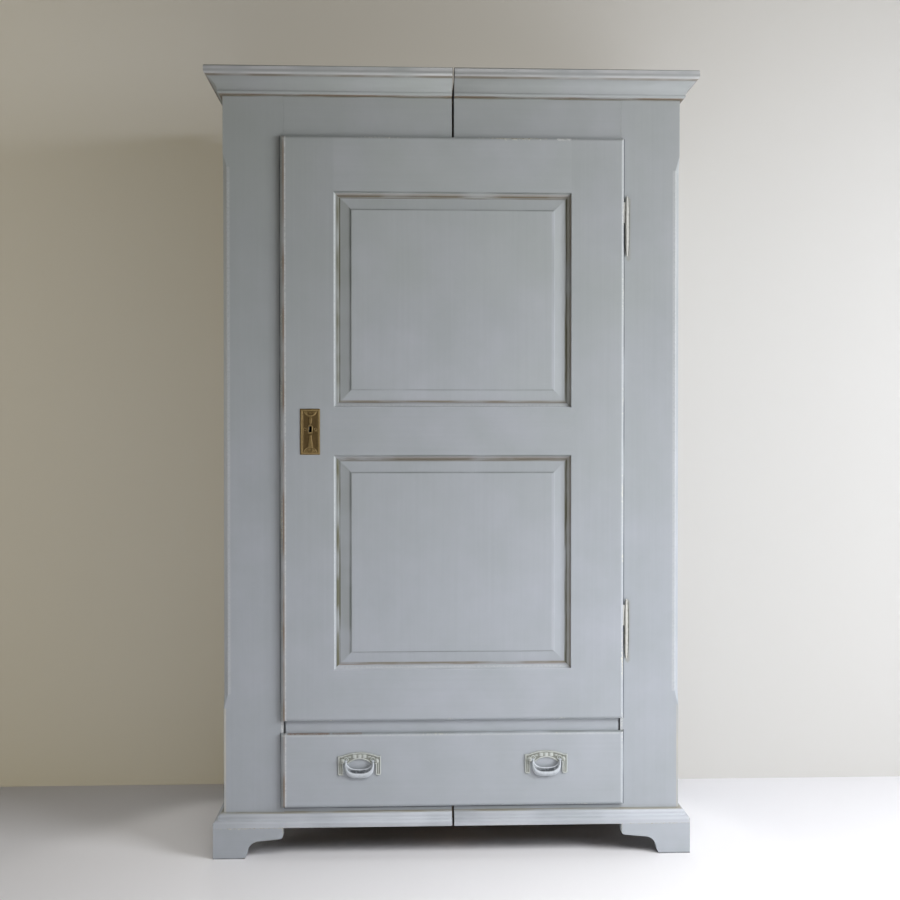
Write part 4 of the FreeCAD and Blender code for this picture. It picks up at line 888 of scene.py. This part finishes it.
def back_plate(centre_x, axis_z, face_y):
    """The strip: point = inner + share * (outer - inner), its height on the front, and a flat back."""
    share = np.linspace(0, 1, 34)[:, None, None]
    flat = inner_line + share * (outer_line - inner_line)
    u, v = flat[..., 0], flat[..., 1]
    relief = handle_relief(u, v)
    strip = plate_skin(centre_x + u, axis_z + v, relief, relief / 1.3, GROUND, face_y)
    posts = [lathe(POST_PROFILE, 28, (centre_x + sign * POST_U, face_y, axis_z), 1, -1, POST_WEAR)
             for sign in (-1, 1)]
    return [strip] + posts


# %% The drop
def super_arc(turn, half_width, drop, power):
    """Lower half of a superellipse: u = a |cos t|^(2/n), v = -b |sin t|^(2/n)."""
    c, s = np.cos(turn), np.sin(turn)
    return (np.sign(c) * half_width * np.abs(c) ** (2 / power), -drop * np.abs(s) ** (2 / power))


BAIL_THICK = 6.0
INNER_EDGE, OUTER_EDGE = 2.0, 1.4  # mm of thickness left at the edges
# Half width, drop and power of the three superellipses.
DROP_INNER, DROP_RIDGE, DROP_OUTER = (30.0, 18.5, 2.5), (33.3, 30.5, 2.8), (35.5, 40.0, 3.3)
# The turned eye at the top of each arm, and its stub, which enters the post: reach from the middle, radius.
EYE_PROFILE = [(29.4, 0), (29.4, 2.6), (30.2, 3.2), (34.6, 3.2), (35.4, 2.7), (35.4, 1.75), (40.0, 1.75),
               (40.0, 0)]


def drop_bail(centre_x, axis_z, axis_y):
    """
    Sections along the drop. Each runs over the front from the inner edge up to the ridge and down to the
    outer edge, then straight back behind. Inner edge, ridge and outer edge are three superellipses.
    """
    turn = np.linspace(math.pi, 0, 121)
    inner, ridge, outer = (np.stack(super_arc(turn, *size), axis=1)
                           for size in (DROP_INNER, DROP_RIDGE, DROP_OUTER))
    back, front = axis_y + BAIL_THICK / 2, axis_y - BAIL_THICK / 2
    rise = np.linspace(0, 1, 9)
    fall = np.linspace(0, 1, 13)[1:]
    across = [inner + r * (ridge - inner) for r in rise] + [ridge + f * (outer - ridge) for f in fall]
    heights = [back - INNER_EDGE + (front - back + INNER_EDGE) * math.sin(r * math.pi / 2) for r in rise]
    heights += [front + (back - OUTER_EDGE - front) * (1 - math.cos(f * math.pi / 2)) for f in fall]
    across += [outer + (inner - outer) * 0.08, inner + (outer - inner) * 0.08]
    heights += [back, back]
    flat = np.stack(across)
    y = np.repeat(np.array(heights)[:, None], len(turn), axis=1)
    # The grip carries painted highlights on its inner edge, its ridge and its outer face, duller behind; its
    # hollow slope is made dark; the arms are even.
    grip = np.abs(np.sin(turn)) ** 0.7
    slope = np.where(rise < 0.15, 0.6, np.where(rise < 0.8, 0.0, 0.9))
    highlights_and_dark_slope = np.concatenate([slope, 0.95 - 0.3 * fall, [0.3, 0.2]])[:, None]
    shown = grip * highlights_and_dark_slope + (1 - grip) * 0.8
    points = np.stack([centre_x + flat[..., 0], y, axis_z + flat[..., 1]], axis=-1)
    first, last = (np.repeat(points[:, [n]].mean(axis=0, keepdims=True), len(points), axis=0)
                   for n in (0, -1))
    points = np.concatenate([first, points, last], axis=1)
    shown = np.hstack([shown[:, :1], shown, shown[:, -1:]])
    loop = patch(points, shown, wrap_rows=True)
    return [loop] + [lathe(EYE_PROFILE, 24, (centre_x, axis_y, axis_z), 0, sign) for sign in (-1, 1)]


for side in ("left", "right"):
    low, high = corners("handle_plate_" + side)
    centre_x, face_y = (low[0] + high[0]) / 2, high[1]
    axis_z = high[2] - CROWN
    make_piece("back_plate_" + side, back_plate(centre_x, axis_z, face_y), plate_iron, "drawer",
               "painted_iron", "handle_plate_" + side)
    low, high = corners("handle_bail_" + side)
    axis_y = (low[1] + high[1]) / 2
    make_piece("drop_" + side, drop_bail(centre_x, axis_z, axis_y), drop_iron, "bail_" + side,
               "painted_iron", "handle_bail_" + side)

# %% [markdown]
# ## Floor, wall, light and camera
#
# A cupboard like this stands on a pale floor against a pale wall, with daylight from a window low on the
# right. One large soft lamp stands for the window, one overhead and a dim even sky for the rest of the room,
# and a small lamp far on the left keeps that side of the case from going dark. The wall is made twice. The
# camera sees a whole sheet, whose back is clear. The light sees a second sheet just behind it, with an
# opening behind the cupboard, so that the lamp of the back room can light the cupboard's back.

# %% Floor and wall
WALL_Y = 0.36            # m behind the cupboard's middle
ROOM = 7.0               # m to either side
ROOM_HIGH = 5.0
GAP_X, GAP_FOOT, GAP_Z = 0.62, 0.18, 1.95  # m: the opening's half width, foot and head
FLOOR_WHITE = "#F0EFF1"
WALL_GREY = "#C3C4C6"
WARM_GLOW = (0.155, 0.132, 0.078, 1.0)
FADE_START, FADE_END = -1.25, -0.6  # m across, where the glow fades


def sheet_piece(name, corner_points, material):
    """Flat four-cornered sheets for the stage, as one piece: every four points are one sheet."""
    faces = [tuple(range(n, n + 4)) for n in range(0, len(corner_points), 4)]
    mesh = bpy.data.meshes.new(name)
    mesh.from_pydata(corner_points, [], faces)
    mesh.materials.append(material)
    piece = bpy.data.objects.new(name, mesh)
    bpy.context.scene.collection.objects.link(piece)
    return piece


def upright(x_low, x_high, z_low, z_high, y):
    """The corners of a sheet that faces the front."""
    return [(x_low, y, z_low), (x_high, y, z_low), (x_high, y, z_high), (x_low, y, z_high)]


floor_paint, floor_tree = new_finish("white_floor_paint")
satin = add(floor_tree, "BsdfPrincipled", {"Base Color": linear(FLOOR_WHITE), "Roughness": 0.6,
                                           "Specular IOR Level": 0.2})
add(floor_tree, "OutputMaterial", {"Surface": satin})
sheet_piece("floor", [(-ROOM, -ROOM, 0), (ROOM, -ROOM, 0), (ROOM, ROOM, 0), (-ROOM, ROOM, 0)], floor_paint)


def lime_wash(name, glow):
    """Matt wall paint whose back is clear. The glow is the warm light of the rest of the room on it."""
    material, tree = new_finish(name)
    across = add(tree, "SeparateXYZ", {"Vector": add(tree, "TexCoord").outputs["Object"]}).outputs["X"]
    fading = add(tree, "MapRange", {"Value": across, "From Min": FADE_START, "From Max": FADE_END,
                                    "To Min": 1.1 * glow, "To Max": 0.8 * glow})
    shader = add(tree, "BsdfPrincipled", {"Base Color": linear(WALL_GREY), "Roughness": 0.9,
                                          "Specular IOR Level": 0.0, "Emission Color": WARM_GLOW,
                                          "Emission Strength": fading})
    clear = add(tree, "BsdfTransparent")
    behind = add(tree, "NewGeometry").outputs["Backfacing"]
    either = add(tree, "MixShader", {0: behind, 1: shader, 2: clear})
    add(tree, "OutputMaterial", {"Surface": either})
    return material


wall = sheet_piece("wall", upright(-ROOM, ROOM, 0, ROOM_HIGH, WALL_Y), lime_wash("lime_wash", 1.0))
wall.visible_diffuse = wall.visible_glossy = wall.visible_transmission = wall.visible_shadow = False
gap_y = WALL_Y + 0.01
round_the_gap = (upright(-ROOM, -GAP_X, 0, ROOM_HIGH, gap_y)
                 + upright(GAP_X, ROOM, 0, ROOM_HIGH, gap_y)
                 + upright(-GAP_X, GAP_X, 0, GAP_FOOT, gap_y)
                 + upright(-GAP_X, GAP_X, GAP_Z, ROOM_HIGH, gap_y))
wall_for_light = sheet_piece("wall_for_light", round_the_gap, lime_wash("lime_wash_dim", 0.5))
wall_for_light.visible_camera = False
print("floor and wall at", WALL_Y, "m behind the middle")

# %% Light
scene = bpy.context.scene
scene.view_settings.view_transform = "Standard"
world = bpy.data.worlds.new("room")
scene.world = world
world.use_nodes = True
sky = world.node_tree
sky.nodes.clear()
seen = add(sky, "LightPath").outputs["Is Camera Ray"]
dim = add(sky, "Background", {"Color": linear("#F6E9D6"), "Strength": 0.08})
pale = add(sky, "Background", {"Color": linear("#DCD8CE"), "Strength": 1.0})
chosen = add(sky, "MixShader", {0: seen, 1: dim, 2: pale})
add(sky, "OutputWorld", {"Surface": chosen})


def soft_lamp(name, width, height, power, colour, place, target, spread=180):
    """A rectangular lamp at one place, turned to face another: sizes in m, power in W, spread in degrees."""
    light = bpy.data.lights.new(name, "AREA")
    light.shape = "RECTANGLE"
    light.size, light.size_y = width, height
    light.energy = power
    light.color = colour
    light.spread = math.radians(spread)
    lamp = bpy.data.objects.new(name, light)
    lamp.location = place
    lamp.rotation_euler = (Vector(target) - Vector(place)).to_track_quat("-Z", "Y").to_euler()
    scene.collection.objects.link(lamp)
    print(name, "lamp of", power, "W at", place)


soft_lamp("window", 1.6, 1.2, 88.5, (0.955, 0.975, 1.01), (2.6, -1.75, 1.8), (0.3, -0.6, -0.5))
soft_lamp("overhead", 3.0, 1.6, 44.0, (1.0, 0.99, 0.965), (0.95, -2.3, 2.4), (0.95, -2.3, 0.0), 110)
soft_lamp("left_fill", 0.4, 1.6, 2.6, (1.0, 0.985, 0.95), (-3.4, -0.1, 1.5), (-0.5, -0.06, 1.0), 45)
soft_lamp("back_room", 2.4, 1.6, 90.0, (1.0, 0.98, 0.94), (0.4, 3.0, 2.2), (0.0, 0.3, 0.7))

# %% Camera
FOCAL_LENGTH = 47.72     # mm
CAMERA_PLACE = (-0.1233, -3.140, 1.01835)
TURNED_DOWN, TURNED_RIGHT = 0.682, 2.2976  # degrees
lens = bpy.data.cameras.new("camera")
lens.lens = FOCAL_LENGTH
camera = bpy.data.objects.new("camera", lens)
camera.location = CAMERA_PLACE
camera.rotation_euler = (math.radians(90 - TURNED_DOWN), 0.0, math.radians(-TURNED_RIGHT))
scene.collection.objects.link(camera)
scene.camera = camera
print("camera at", CAMERA_PLACE)
